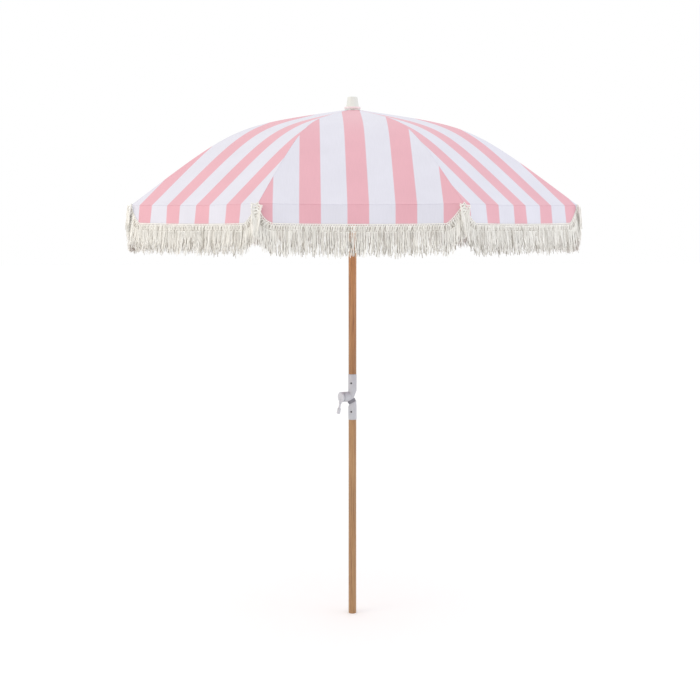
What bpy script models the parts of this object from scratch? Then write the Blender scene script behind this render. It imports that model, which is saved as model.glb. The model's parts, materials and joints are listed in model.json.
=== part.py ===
"""Folding beach parasol: a two-piece wooden pole with an oblique swivel tilt joint, a crown and a
sliding runner that fold eight ribs and stretchers, and a striped canopy with a fringed valance.

Frame: metres, +Z up the pole, origin at the centre of the pole's foot. The front gore faces -Y.
"""

import math

import bmesh
import bpy
import numpy as np
from mathutils import Matrix, Vector

# ---- driving dimensions (metres) ----
RIB_COUNT = 8
RIB_STEP = 2 * math.pi / RIB_COUNT
HALF_STEP = RIB_STEP / 2
FIRST_RIB = -math.pi / 2 + HALF_STEP  # the front gore is centred on -Y
GAP = 0.0003  # kept between neighbours that touch on the real parasol

POLE_RADIUS = 0.016
TENON_RADIUS = 0.0145
POLE_CHAMFER = 0.0015
TOP_TENON_RADIUS = 0.011
LOWER_KNUCKLE_FOOT = 0.8105
LOWER_SOCKET_TOP = 0.858
UPPER_SOCKET_FLOOR = 0.945
UPPER_KNUCKLE_TOP = 0.9967
UPPER_POLE_SHOULDER = 2.0035
UPPER_POLE_TOP = 2.085
SOCKET_PLAY = 0.001  # between the lower pole's end and its socket's floor
TOTAL_HEIGHT = 2.105

KNUCKLE_RADIUS = 0.0172
SOCKET_RADIUS = 0.0149
SWIVEL_TILT = math.radians(30)
RING_CENTRE = Vector((-0.0035, 0, 0.8865))
RING_THICKNESS = 0.013
RING_RADIUS = 0.0158
SWIVEL_PIN_RADIUS = 0.0055
LOWER_NECK_START = 0.862
UPPER_NECK_END = 0.930
SCREW_TURN = math.radians(-110)  # both pole screws face front, 20 degrees to the left
LOWER_SCREW_HEIGHT = 0.8435
UPPER_SCREW_HEIGHT = 0.9606
SCREW_HEAD_RADIUS = 0.0036
SCREW_SHANK_RADIUS = 0.0022

CLAMP_HEIGHT = 0.9044
CLAMP_TURN = math.radians(-150)  # the clamp points left and forwards
HUB_RADIUS = 0.0205
HUB_LENGTH = 0.0305
WASHER_THICKNESS = 0.0017
CLAMP_BOLT_RADIUS = 0.004
BOLT_TIP = 0.0078  # from the swivel axis, which the bolt meets at a slant
KNOB_RADIUS = 0.021
KNOB_THICKNESS = 0.0095
LEVER_REACH = 0.069
ARM_HEIGHT = 0.0045  # of the arm's line above the knob's foot
ARM_START = 0.0262
ARM_END = 0.061
GRIP_START = 0.0445
GRIP_HOLE_END = 0.0625
LEVER_LEAN = math.radians(12)
LEVER_RADIUS = 0.004
GRIP_RADIUS = 0.007

# the canopy's rib line: two straight slopes joined by a soft bend at BEND_RADIUS
CANOPY_RADIUS = 0.9
CANOPY_HOLE = 0.013
CANOPY_TOP = 2.0563
INNER_SLOPE = 0.164
OUTER_SLOPE = 0.743
BEND_RADIUS = 0.494
BEND_SOFTNESS = 0.0766
CLOTH_THICKNESS = 0.0015
CANOPY_STATIONS = 11
VALANCE_DROP = 0.068
VALANCE_CORNER = 0.058
FRINGE_LENGTH = 0.101
CURTAIN_THICKNESS = 0.004

WIRE_RADIUS = 0.0009
WIRE_BORE = 0.0014
EYE_RADIUS = 0.0036
EYE_WIDTH = 0.0046
SLOT_WIDTH = 0.0056
SLOT_FLOOR_RADIUS = 0.0245
ROD_RADIUS = 0.0025
ROD_DEPTH = 0.0055  # from the canopy's outer face to the rib's centre line
PIVOT_RADIUS = 0.030
CROWN_PIVOT_HEIGHT = 2.036
CROWN_RADIUS = 0.038
CROWN_TOP = 2.0478
CROWN_FLOOR = 2.0240  # underside of the slotted disc
CROWN_SLEEVE_FOOT = 2.0040
FINIAL_SEAT = 2.0556
RUNNER_PIVOT_HEIGHT = 1.724
RUNNER_BORE = 0.0168
STRETCHER_RADIUS_ON_RIB = 0.43
BRACKET_DROP = 0.008
RIVET_RADIUS = 0.0015
THUMBSCREW_HEIGHT = 1.686

# colours as linear RGB, with roughness and metallic
WOOD = ((0.46, 0.23, 0.11), 0.45, 0.0)
CASTING = ((0.58, 0.56, 0.62), 0.4, 0.0)
DARK_PLASTIC = ((0.09, 0.085, 0.10), 0.55, 0.0)
DARK_STEEL = ((0.05, 0.045, 0.05), 0.4, 1.0)
STEEL = ((0.6, 0.6, 0.6), 0.3, 1.0)
WHITE_PLASTIC = ((0.80, 0.80, 0.75), 0.4, 0.0)
RIB_COAT = ((0.75, 0.75, 0.74), 0.4, 0.0)
CANVAS = ((0.83, 0.45, 0.50), 0.85, 0.0)
FRINGE = ((0.72, 0.69, 0.62), 0.9, 0.0)


# ---- scene helpers ----
def clear_scene():
    for obj in list(bpy.data.objects):
        bpy.data.objects.remove(obj, do_unlink=True)


def new_collection(name):
    collection = bpy.data.collections.new(name)
    bpy.context.scene.collection.children.link(collection)
    return collection


def new_material(name, finish):
    colour, roughness, metallic = finish
    material = bpy.data.materials.new(name)
    material.use_nodes = True
    shader = material.node_tree.nodes["Principled BSDF"]
    shader.inputs["Base Color"].default_value = (*colour, 1)
    shader.inputs["Roughness"].default_value = roughness
    shader.inputs["Metallic"].default_value = metallic
    return material


def add_object(name, mesh, collection, finish, matrix=None, parent=None):
    obj = bpy.data.objects.new(name, mesh)
    collection.objects.link(obj)
    obj.parent = parent
    obj.matrix_local = matrix if matrix is not None else Matrix.Identity(4)
    if not mesh.materials:
        mesh.materials.append(new_material(name, finish))
    return obj


def add_on_ground(name, mesh, finish, matrix=None):
    """Adds an object of the lower half, which stands still."""
    return add_object(name, mesh, PARASOL, finish, matrix)


def add_on_swivel(name, mesh, finish, matrix=None):
    """Adds an object placed in the world frame, which turns with the upper half."""
    obj = add_object(name, mesh, PARASOL, finish, matrix, SWIVEL)
    obj.matrix_parent_inverse = Matrix.Translation(-RING_CENTRE)
    return obj


def add_empty(name, location, parent=None):
    empty = bpy.data.objects.new(name, None)
    PARASOL.objects.link(empty)
    empty.empty_display_size = 0.03
    empty.parent = parent
    empty.location = location
    return empty


def frame_at(origin, z_axis, y_hint):
    """A matrix whose Z runs along z_axis and whose Y is as near y_hint as it can be."""
    z = Vector(z_axis).normalized()
    x = Vector(y_hint).cross(z).normalized()
    matrix = Matrix((x, z.cross(x), z)).transposed().to_4x4()
    matrix.translation = origin
    return matrix


def spoke(index):
    """Turns the +X axis to rib number index, counted from 1."""
    return Matrix.Rotation(FIRST_RIB + RIB_STEP * (index - 1), 4, "Z")


def turned_mesh(name, profile, steps=32, closed=False):
    """A turned shape: the profile's (radius, height) points, down its outer side, spun about Z."""
    mesh = bpy.data.meshes.new(name)
    edges = [(i, i + 1) for i in range(len(profile) - 1)]
    if closed:
        edges.append((len(profile) - 1, 0))
    mesh.from_pydata([(r, 0, z) for r, z in profile], edges, [])
    holder = bpy.data.objects.new(name, mesh)
    CUTTERS.objects.link(holder)
    screw = holder.modifiers.new("Spin", "SCREW")
    screw.steps = screw.render_steps = steps
    screw.use_merge_vertices = True
    screw.merge_threshold = 0.00005
    screw.use_smooth_shade = True
    return baked(holder)


def baked(obj):
    """The object's evaluated mesh, with its doubles merged; the object itself is removed."""
    graph = bpy.context.evaluated_depsgraph_get()
    mesh = bpy.data.meshes.new_from_object(obj.evaluated_get(graph))
    work = bmesh.new()
    work.from_mesh(mesh)
    bmesh.ops.remove_doubles(work, verts=work.verts, dist=0.000005)
    work.to_mesh(mesh)
    work.free()
    mesh.shade_smooth()
    mesh.set_sharp_from_angle(angle=math.radians(35))
    mesh.name = obj.name
    bpy.data.objects.remove(obj, do_unlink=True)
    return mesh


def cylinder_mesh(name, radius, low, high, matrix=None, segments=24):
    """A cylinder along Z from low to high, then placed by matrix."""
    work = bmesh.new()
    centre = Matrix.Translation((0, 0, (low + high) / 2))
    bmesh.ops.create_cone(
        work, cap_ends=True, segments=segments, radius1=radius, radius2=radius,
        depth=high - low, matrix=(matrix or Matrix.Identity(4)) @ centre,
    )
    return finished(work, name)


def box_mesh(name, low, high, matrix=None):
    """A box between two corners, then placed by matrix."""
    low, high = Vector(low), Vector(high)
    work = bmesh.new()
    size = Matrix.Diagonal((*(high - low), 1))
    bmesh.ops.create_cube(
        work, size=1, matrix=(matrix or Matrix.Identity(4)) @ Matrix.Translation((low + high) / 2) @ size
    )
    return finished(work, name)


def finished(work, name):
    bmesh.ops.recalc_face_normals(work, faces=work.faces)
    mesh = bpy.data.meshes.new(name)
    work.to_mesh(mesh)
    work.free()
    return mesh


def torus_mesh(name, major, minor, height, segments=32, sides=6):
    work = bmesh.new()
    ring = [
        work.verts.new((major + minor * math.cos(a), 0, height + minor * math.sin(a)))
        for a in np.linspace(0, 2 * math.pi, sides, endpoint=False)
    ]
    edges = [work.edges.new((ring[i], ring[(i + 1) % sides])) for i in range(sides)]
    bmesh.ops.spin(
        work, geom=ring + edges, cent=(0, 0, 0), axis=(0, 0, 1), angle=2 * math.pi,
        steps=segments, use_merge=True,
    )
    bmesh.ops.remove_doubles(work, verts=work.verts, dist=0.000005)
    return finished(work, name)


def loft_mesh(name, rings, segments=32):
    """A closed skin through circles, each given as (centre, first axis, second axis, radius)."""
    work = bmesh.new()
    loops = []
    for centre, first, second, radius in rings:
        loops.append([
            work.verts.new(
                Vector(centre) + radius * (math.cos(a) * Vector(first) + math.sin(a) * Vector(second))
            )
            for a in np.linspace(0, 2 * math.pi, segments, endpoint=False)
        ])
    for lower, upper in zip(loops, loops[1:]):
        for i in range(segments):
            j = (i + 1) % segments
            work.faces.new((lower[i], lower[j], upper[j], upper[i]))
    work.faces.new(list(reversed(loops[0])))
    work.faces.new(loops[-1])
    return finished(work, name)


def combine(obj, operation, meshes):
    """Joins or cuts obj with helper meshes, each on a hidden object in obj's own frame."""
    bpy.context.view_layer.update()
    for number, mesh in enumerate(meshes):
        helper = bpy.data.objects.new(f"{obj.name}_{operation.lower()}_{number}", mesh)
        CUTTERS.objects.link(helper)
        helper.matrix_world = obj.matrix_world
        helper.hide_render = True
        helper.display_type = "WIRE"
        modifier = obj.modifiers.new(mesh.name, "BOOLEAN")
        modifier.operation = operation
        modifier.solver = "EXACT"
        modifier.object = helper


def rod_mesh(name, points, radius):
    """A round rod along points, with closed ends."""
    curve = bpy.data.curves.new(name, "CURVE")
    curve.dimensions = "3D"
    curve.bevel_depth = radius
    curve.bevel_resolution = 2
    curve.use_fill_caps = True
    spline = curve.splines.new("POLY")
    spline.points.add(len(points) - 1)
    for point, place in zip(spline.points, points):
        point.co = (*place, 1)
    holder = bpy.data.objects.new(name, curve)
    CUTTERS.objects.link(holder)
    return baked(holder)


def built_mesh(name, base, joins=(), cuts=()):
    """One mesh from a base mesh joined with, and then cut by, other meshes."""
    holder = bpy.data.objects.new(name, base)
    CUTTERS.objects.link(holder)
    combine(holder, "UNION", joins)
    combine(holder, "DIFFERENCE", cuts)
    bpy.context.view_layer.update()
    helpers = [modifier.object for modifier in holder.modifiers]
    mesh = baked(holder)
    for helper in helpers:
        bpy.data.objects.remove(helper, do_unlink=True)
    return mesh


# ---- where things are ----
def softplus(value):
    return math.log1p(math.exp(value))


def canopy_height(radius):
    """Height of the canopy's outer face on a rib line."""
    bend = softplus((radius - BEND_RADIUS) / BEND_SOFTNESS) - softplus(-BEND_RADIUS / BEND_SOFTNESS)
    return CANOPY_TOP - INNER_SLOPE * radius - (OUTER_SLOPE - INNER_SLOPE) * BEND_SOFTNESS * bend


def canopy_slope(radius):
    share = 1 / (1 + math.exp(-(radius - BEND_RADIUS) / BEND_SOFTNESS))
    return INNER_SLOPE + (OUTER_SLOPE - INNER_SLOPE) * share


def rib_centre(radius, depth=ROD_DEPTH):
    """A point in a rib's plane, depth below the canopy's outer face."""
    slope = math.atan(canopy_slope(radius))
    return Vector((radius - depth * math.sin(slope), 0, canopy_height(radius) - depth * math.cos(slope)))


CLAMP_AXIS = Vector((math.cos(CLAMP_TURN), math.sin(CLAMP_TURN), 0))
SWIVEL_AXIS = Vector((-math.sin(SWIVEL_TILT), 0, math.cos(SWIVEL_TILT)))
SWIVEL_SIDE = Vector((math.cos(SWIVEL_TILT), 0, math.sin(SWIVEL_TILT)))
CLAMP_ORIGIN = RING_CENTRE + SWIVEL_AXIS * ((CLAMP_HEIGHT - RING_CENTRE.z) / SWIVEL_AXIS.z)
CROWN_PIVOT = Vector((PIVOT_RADIUS, 0, CROWN_PIVOT_HEIGHT))
RUNNER_PIVOT = Vector((PIVOT_RADIUS, 0, RUNNER_PIVOT_HEIGHT))
RIB_BRACKET = rib_centre(STRETCHER_RADIUS_ON_RIB, ROD_DEPTH + BRACKET_DROP)
RIB_TIP = Vector((CANOPY_RADIUS, 0, canopy_height(CANOPY_RADIUS)))
UP = Vector((0, 0, 1))


# ---- pole ----
def build_pole():
    lower = turned_mesh("lower_pole", [
        (0, LOWER_SOCKET_TOP - SOCKET_PLAY),
        (TENON_RADIUS - POLE_CHAMFER, LOWER_SOCKET_TOP - SOCKET_PLAY),
        (TENON_RADIUS, LOWER_SOCKET_TOP - SOCKET_PLAY - POLE_CHAMFER),
        (TENON_RADIUS, LOWER_KNUCKLE_FOOT - GAP),
        (POLE_RADIUS, LOWER_KNUCKLE_FOOT - GAP),
        (POLE_RADIUS, POLE_CHAMFER),
        (POLE_RADIUS - POLE_CHAMFER, 0),
        (0, 0),
    ])
    pole = add_on_ground("lower_pole", lower, WOOD)
    combine(pole, "DIFFERENCE", [screw_hole(LOWER_SCREW_HEIGHT, SCREW_SHANK_RADIUS + GAP)])
    upper = turned_mesh("upper_pole", [
        (0, UPPER_POLE_TOP),
        (TOP_TENON_RADIUS, UPPER_POLE_TOP),
        (TOP_TENON_RADIUS, UPPER_POLE_SHOULDER),
        (POLE_RADIUS, UPPER_POLE_SHOULDER),
        (POLE_RADIUS, UPPER_KNUCKLE_TOP + GAP),
        (TENON_RADIUS, UPPER_KNUCKLE_TOP + GAP),
        (TENON_RADIUS, UPPER_SOCKET_FLOOR + GAP + POLE_CHAMFER),
        (TENON_RADIUS - POLE_CHAMFER, UPPER_SOCKET_FLOOR + GAP),
        (0, UPPER_SOCKET_FLOOR + GAP),
    ])
    pole = add_on_swivel("upper_pole", upper, WOOD)
    combine(pole, "DIFFERENCE", [screw_hole(UPPER_SCREW_HEIGHT, SCREW_SHANK_RADIUS + GAP)])


def screw_frame(height):
    outward = Vector((math.cos(SCREW_TURN), math.sin(SCREW_TURN), 0))
    return frame_at((0, 0, height), outward, UP)


def screw_hole(height, radius, start=0.0065):
    return cylinder_mesh("screw_hole", radius, start, 0.03, screw_frame(height), 16)


def build_pole_screw(name, height, add):
    """A cross-head screw through a knuckle into its pole, put in place by add."""
    head, seat = KNUCKLE_RADIUS - 0.0008, TENON_RADIUS + GAP
    mesh = turned_mesh(name, [
        (0, head), (SCREW_HEAD_RADIUS - 0.0006, head), (SCREW_HEAD_RADIUS, head - 0.0006),
        (SCREW_HEAD_RADIUS, seat), (SCREW_SHANK_RADIUS, seat), (SCREW_SHANK_RADIUS, 0.008), (0, 0.007),
    ], steps=16)
    add(name, mesh, DARK_STEEL, screw_frame(height))


# ---- tilt joint ----
def build_lower_knuckle():
    x, y = Vector((1, 0, 0)), Vector((0, 1, 0))
    face = RING_CENTRE - SWIVEL_AXIS * (RING_THICKNESS / 2 + GAP)
    body = loft_mesh("lower_knuckle", [
        ((0, 0, LOWER_KNUCKLE_FOOT), x, y, KNUCKLE_RADIUS - 0.0006),
        ((0, 0, LOWER_KNUCKLE_FOOT + 0.001), x, y, KNUCKLE_RADIUS),
        ((0, 0, LOWER_NECK_START), x, y, KNUCKLE_RADIUS),
        (face - SWIVEL_AXIS * 0.002, SWIVEL_SIDE, y, KNUCKLE_RADIUS - 0.0002),
        (face, SWIVEL_SIDE, y, RING_RADIUS),
    ])
    knuckle = add_on_ground("lower_knuckle", body, CASTING)
    combine(knuckle, "DIFFERENCE", [
        cylinder_mesh(
            "pole_socket", SOCKET_RADIUS, LOWER_KNUCKLE_FOOT - 0.02, LOWER_SOCKET_TOP, segments=32
        ),
        cylinder_mesh("pin_seat", SWIVEL_PIN_RADIUS + GAP, -0.018, 0.01, frame_at(face, SWIVEL_AXIS, y), 20),
        screw_hole(LOWER_SCREW_HEIGHT, SCREW_HEAD_RADIUS + GAP, 0.012),
    ])


def build_upper_knuckle():
    x, y = Vector((1, 0, 0)), Vector((0, 1, 0))
    face = RING_CENTRE + SWIVEL_AXIS * (RING_THICKNESS / 2 + GAP)
    body = loft_mesh("upper_knuckle", [
        (face, SWIVEL_SIDE, y, RING_RADIUS),
        (face + SWIVEL_AXIS * 0.0015, SWIVEL_SIDE, y, RING_RADIUS + 0.0006),
        ((0, 0, UPPER_NECK_END), x, y, KNUCKLE_RADIUS),
        ((0, 0, UPPER_KNUCKLE_TOP - 0.001), x, y, KNUCKLE_RADIUS),
        ((0, 0, UPPER_KNUCKLE_TOP), x, y, KNUCKLE_RADIUS - 0.0006),
    ])
    knuckle = add_on_swivel("upper_knuckle", body, CASTING)
    clamp = frame_at(CLAMP_ORIGIN, CLAMP_AXIS, UP)
    hub = turned_mesh("hub", [
        (0, HUB_LENGTH), (HUB_RADIUS - 0.0015, HUB_LENGTH), (HUB_RADIUS, HUB_LENGTH - 0.0015),
        (HUB_RADIUS, 0.002), (HUB_RADIUS - 0.006, -0.002), (0, -0.004),
    ], steps=32)
    hub.transform(clamp)
    swivel = frame_at(face, SWIVEL_AXIS, y)
    combine(knuckle, "UNION", [hub])
    combine(knuckle, "DIFFERENCE", [
        box_mesh("swivel_face", (-0.06, -0.06, -0.03), (0.06, 0.06, 0.0001), swivel),
        cylinder_mesh(
            "pole_socket", SOCKET_RADIUS, UPPER_SOCKET_FLOOR, UPPER_KNUCKLE_TOP + 0.02, segments=32
        ),
        cylinder_mesh("pin_bore", SWIVEL_PIN_RADIUS + GAP, -0.01, 0.030, swivel, 20),
        cylinder_mesh("bolt_bore", CLAMP_BOLT_RADIUS + GAP, 0.001, HUB_LENGTH + 0.01, clamp, 20),
        screw_hole(UPPER_SCREW_HEIGHT, SCREW_HEAD_RADIUS + GAP, 0.012),
    ])


def build_clutch_ring():
    half = RING_THICKNESS / 2
    mesh = turned_mesh("clutch_ring", [
        (RING_RADIUS - 0.001, half), (RING_RADIUS, half - 0.001), (RING_RADIUS, 0.001 - half),
        (RING_RADIUS - 0.001, -half), (SWIVEL_PIN_RADIUS + GAP, -half), (SWIVEL_PIN_RADIUS + GAP, half),
    ], steps=24, closed=True)
    add_on_ground("clutch_ring", mesh, DARK_PLASTIC, frame_at(RING_CENTRE, SWIVEL_AXIS, (0, 1, 0)))


def build_swivel_pin():
    mesh = turned_mesh("swivel_pin", [
        (0, 0.0355), (SWIVEL_PIN_RADIUS - 0.0008, 0.0355), (SWIVEL_PIN_RADIUS, 0.0347),
        (SWIVEL_PIN_RADIUS, -0.024), (0, -0.024),
    ], steps=20)
    add_on_ground("swivel_pin", mesh, STEEL, frame_at(RING_CENTRE, SWIVEL_AXIS, (0, 1, 0)))


def build_clamp():
    """Bolt, washer, knob, arm and grip; the lever's empty stands on the clamp's own axis."""
    axis_frame = frame_at(CLAMP_ORIGIN, CLAMP_AXIS, UP)
    offset = Matrix.Translation((0, 0, HUB_LENGTH + WASHER_THICKNESS + 2 * GAP))
    lean = Matrix.Rotation(math.pi / 2 - LEVER_LEAN, 4, "X")  # turns Z to the arm's direction
    arm_frame = Matrix.Translation((0, 0, ARM_HEIGHT)) @ lean
    bolt = turned_mesh("clamp_bolt", [
        (0, HUB_LENGTH + 0.0082), (CLAMP_BOLT_RADIUS, HUB_LENGTH + 0.0082),
        (CLAMP_BOLT_RADIUS, BOLT_TIP + 0.0018), (0.0025, BOLT_TIP), (0, BOLT_TIP),
    ], steps=20)
    add_object("clamp_bolt", bolt, PARASOL, STEEL, parent=LEVER)
    washer = turned_mesh("clamp_washer", [
        (0.0125, HUB_LENGTH + GAP + WASHER_THICKNESS), (0.0125, HUB_LENGTH + GAP),
        (CLAMP_BOLT_RADIUS + GAP, HUB_LENGTH + GAP),
        (CLAMP_BOLT_RADIUS + GAP, HUB_LENGTH + GAP + WASHER_THICKNESS),
    ], steps=20, closed=True)
    add_on_swivel("clamp_washer", washer, DARK_PLASTIC, axis_frame)
    knob = turned_mesh("clamp_knob", [
        (0, 0.0108), (0.0068, 0.0108), (0.0076, KNOB_THICKNESS), (KNOB_RADIUS - 0.002, KNOB_THICKNESS),
        (KNOB_RADIUS, KNOB_THICKNESS - 0.002), (KNOB_RADIUS, 0.0015), (KNOB_RADIUS - 0.0015, 0),
        (CLAMP_BOLT_RADIUS + GAP, 0), (CLAMP_BOLT_RADIUS + GAP, 0.0065), (0, 0.0065),
    ])
    knob_obj = add_object("clamp_knob", knob, PARASOL, CASTING, offset, LEVER)
    boss = cylinder_mesh("arm_boss", 0.0062, 0.012, ARM_START, arm_frame, 20)
    combine(knob_obj, "UNION", [boss])
    arm_frame = offset @ arm_frame
    arm = turned_mesh("lever_arm", [
        (0, ARM_END), (LEVER_RADIUS - 0.0005, ARM_END), (LEVER_RADIUS, ARM_END - 0.0005),
        (LEVER_RADIUS, ARM_START + GAP), (0, ARM_START + GAP),
    ], steps=20)
    add_object("lever_arm", arm, PARASOL, CASTING, arm_frame, LEVER)
    grip = turned_mesh("lever_grip", [
        (0, LEVER_REACH), (GRIP_RADIUS - 0.0025, LEVER_REACH), (GRIP_RADIUS, LEVER_REACH - 0.0025),
        (GRIP_RADIUS, GRIP_START + 0.003), (GRIP_RADIUS - 0.0015, GRIP_START),
        (LEVER_RADIUS + GAP, GRIP_START), (LEVER_RADIUS + GAP, GRIP_HOLE_END), (0, GRIP_HOLE_END),
    ], steps=20)
    add_object("lever_grip", grip, PARASOL, CASTING, arm_frame, LEVER)


# ---- crown, finial and runner ----
def spoke_slots(low, high):
    """Cutters for the eight slots that the ribs or stretchers swing in."""
    near, far = (SLOT_FLOOR_RADIUS, -SLOT_WIDTH / 2, low), (0.06, SLOT_WIDTH / 2, high)
    return [box_mesh(f"slot_{i}", near, far, spoke(i)) for i in range(1, RIB_COUNT + 1)]


def build_crown():
    profile = [
        (CROWN_RADIUS - 0.003, CROWN_TOP), (CROWN_RADIUS, CROWN_TOP - 0.0016),
        (CROWN_RADIUS, CROWN_FLOOR + 0.003), (CROWN_RADIUS - 0.003, CROWN_FLOOR),
        (0.0225, CROWN_FLOOR - 0.003), (0.0215, CROWN_SLEEVE_FOOT),
        (TOP_TENON_RADIUS + GAP, CROWN_SLEEVE_FOOT), (TOP_TENON_RADIUS + GAP, CROWN_TOP),
    ]
    mesh = turned_mesh("crown", profile, steps=24, closed=True)
    crown = add_on_swivel("crown", mesh, WHITE_PLASTIC)
    combine(crown, "DIFFERENCE", [
        *spoke_slots(2.015, CROWN_PIVOT_HEIGHT + 0.0055),
        torus_mesh("wire_groove", PIVOT_RADIUS, WIRE_BORE, CROWN_PIVOT_HEIGHT),
    ])
    wire = torus_mesh("crown_wire", PIVOT_RADIUS, WIRE_RADIUS, CROWN_PIVOT_HEIGHT)
    add_on_swivel("crown_wire", wire, STEEL)


def build_finial():
    mesh = turned_mesh("finial", [
        (0, TOTAL_HEIGHT), (0.0175, TOTAL_HEIGHT), (0.0198, TOTAL_HEIGHT - 0.0015),
        (0.0245, 2.0710), (0.0265, 2.0625), (0.0305, 2.0575), (0.0310, FINIAL_SEAT - 0.003),
        (0.0125, FINIAL_SEAT), (TOP_TENON_RADIUS + GAP, FINIAL_SEAT),
        (TOP_TENON_RADIUS + GAP, UPPER_POLE_TOP + 0.001), (0, UPPER_POLE_TOP + 0.001),
    ], steps=24)
    add_on_swivel("finial", mesh, WHITE_PLASTIC)


def build_runner():
    """The runner's parent empty stands on the pole's axis at the runner's pivots."""
    top, shelf, foot = 0.010, -0.011, -0.056
    mesh = turned_mesh("runner", [
        (CROWN_RADIUS - 0.002, top), (CROWN_RADIUS, top - 0.002), (CROWN_RADIUS, shelf + 0.002),
        (CROWN_RADIUS - 0.002, shelf), (0.0228, shelf - 0.004), (0.0228, foot + 0.002), (0.0213, foot),
        (RUNNER_BORE, foot), (RUNNER_BORE, top),
    ], steps=24, closed=True)
    runner = add_object("runner", mesh, PARASOL, WHITE_PLASTIC, parent=RUNNER)
    screw_level = THUMBSCREW_HEIGHT - RUNNER_PIVOT_HEIGHT
    outward = frame_at((0, 0, screw_level), (0, -1, 0), UP)
    combine(runner, "DIFFERENCE", [
        *spoke_slots(shelf - 0.01, top + 0.01),
        torus_mesh("wire_groove", PIVOT_RADIUS, WIRE_BORE, 0),
        cylinder_mesh("thumbscrew_hole", 0.0034, 0.012, 0.03, outward, 16),
    ])
    wire = torus_mesh("runner_wire", PIVOT_RADIUS, WIRE_RADIUS, 0)
    add_object("runner_wire", wire, PARASOL, STEEL, parent=RUNNER)
    screw = turned_mesh("runner_thumbscrew", [
        (0, 0.0370), (0.0085, 0.0370), (0.0095, 0.0360), (0.0095, 0.0275), (0.0060, 0.0250),
        (0.0031, 0.0245), (0.0031, POLE_RADIUS + GAP), (0, POLE_RADIUS + GAP),
    ], steps=16)
    add_object("runner_thumbscrew", screw, PARASOL, WHITE_PLASTIC, outward, RUNNER)


# ---- ribs and stretchers ----
def cross_pin(name, radius, half_width, place, segments=12):
    """A cylinder along Y through place."""
    along = Matrix.Translation(place) @ Matrix.Rotation(math.pi / 2, 4, "X")
    return cylinder_mesh(name, radius, -half_width, half_width, along, segments)


def rib_mesh():
    """A rib in its own frame: origin on its crown pivot, +X outwards."""
    stations = [0.065, *np.linspace(0.16, STRETCHER_RADIUS_ON_RIB, 4), *np.linspace(0.49, 0.896, 6)]
    points = [Vector((0.001, 0, 0)), *(rib_centre(r) - CROWN_PIVOT for r in stations)]
    rod = rod_mesh("rib_rod", points, ROD_RADIUS)
    seat = rib_centre(STRETCHER_RADIUS_ON_RIB) - CROWN_PIVOT
    slope = Matrix.Rotation(math.atan(canopy_slope(STRETCHER_RADIUS_ON_RIB)), 4, "Y")
    bracket = Matrix.Translation(seat) @ slope
    pivot = RIB_BRACKET - CROWN_PIVOT
    cheek_cut = box_mesh("cheek_cut", (-0.02, -0.0031, -0.02), (0.02, 0.0031, -0.0037), bracket)
    block = box_mesh("block", (-0.0075, -0.0044, -0.0037 - 0.0043), (0.0075, 0.0044, 0.0016), bracket)
    shaped = built_mesh(
        "bracket", block, joins=[cross_pin("cheek", 0.0052, 0.0044, pivot)], cuts=[cheek_cut]
    )
    return built_mesh(
        "rib", rod,
        joins=[
            cross_pin("root_eye", EYE_RADIUS, EYE_WIDTH / 2, (0, 0, 0)),
            shaped,
            cross_pin("rivet", RIVET_RADIUS, 0.0040, pivot, 8),
        ],
        cuts=[cross_pin("wire_hole", WIRE_BORE, 0.01, (0, 0, 0), 8)],
    )


def stretcher_mesh():
    """A stretcher in its own frame: origin on its rib pivot, its far eye at the runner's pivot."""
    reach = RUNNER_PIVOT - RIB_BRACKET
    rod = rod_mesh("stretcher_rod", [reach * 0.004, reach * 0.5, reach * 0.997], ROD_RADIUS)
    return built_mesh(
        "stretcher", rod,
        joins=[
            cross_pin("rib_eye", EYE_RADIUS, 0.0028, (0, 0, 0)),
            cross_pin("runner_eye", EYE_RADIUS, EYE_WIDTH / 2, reach),
        ],
        cuts=[
            cross_pin("rivet_hole", RIVET_RADIUS + 0.0004, 0.01, (0, 0, 0), 8),
            cross_pin("wire_hole", WIRE_BORE, 0.01, reach, 8),
        ],
    )


# ---- canopy ----
def half_gore_mesh(name, side):
    """Half a gore beside a rib: side 1 runs anticlockwise from it seen from above, side -1 clockwise."""
    work = bmesh.new()
    origin = Vector((PIVOT_RADIUS, side * PIVOT_RADIUS * math.tan(HALF_STEP / 2), CROWN_PIVOT_HEIGHT))
    rows = []
    for share in np.linspace(0, 1, CANOPY_STATIONS):
        radius = CANOPY_HOLE + (CANOPY_RADIUS - CANOPY_HOLE) * share
        row = []
        for along in (0.0008, radius * math.sin(HALF_STEP) - GAP / 2):
            outward, aside = radius - along * math.sin(HALF_STEP), along * math.cos(HALF_STEP)
            place = Vector((outward, side * aside, canopy_height(radius)))
            row.append(work.verts.new(place - origin))
        rows.append(row)
    for near, far in zip(rows, rows[1:]):
        corners = (near[0], far[0], far[1], near[1])
        work.faces.new(corners if side > 0 else corners[::-1])
    mesh = bpy.data.meshes.new(name)
    work.to_mesh(mesh)
    work.free()
    return mesh


def edge_drop(distance):
    """How far the valance hangs below the eave, at a distance along it from a rib: its corners are round."""
    if distance >= VALANCE_CORNER:
        return VALANCE_DROP
    inset = VALANCE_CORNER - distance
    return VALANCE_DROP - VALANCE_CORNER + math.sqrt(VALANCE_CORNER**2 - inset**2)


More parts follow.
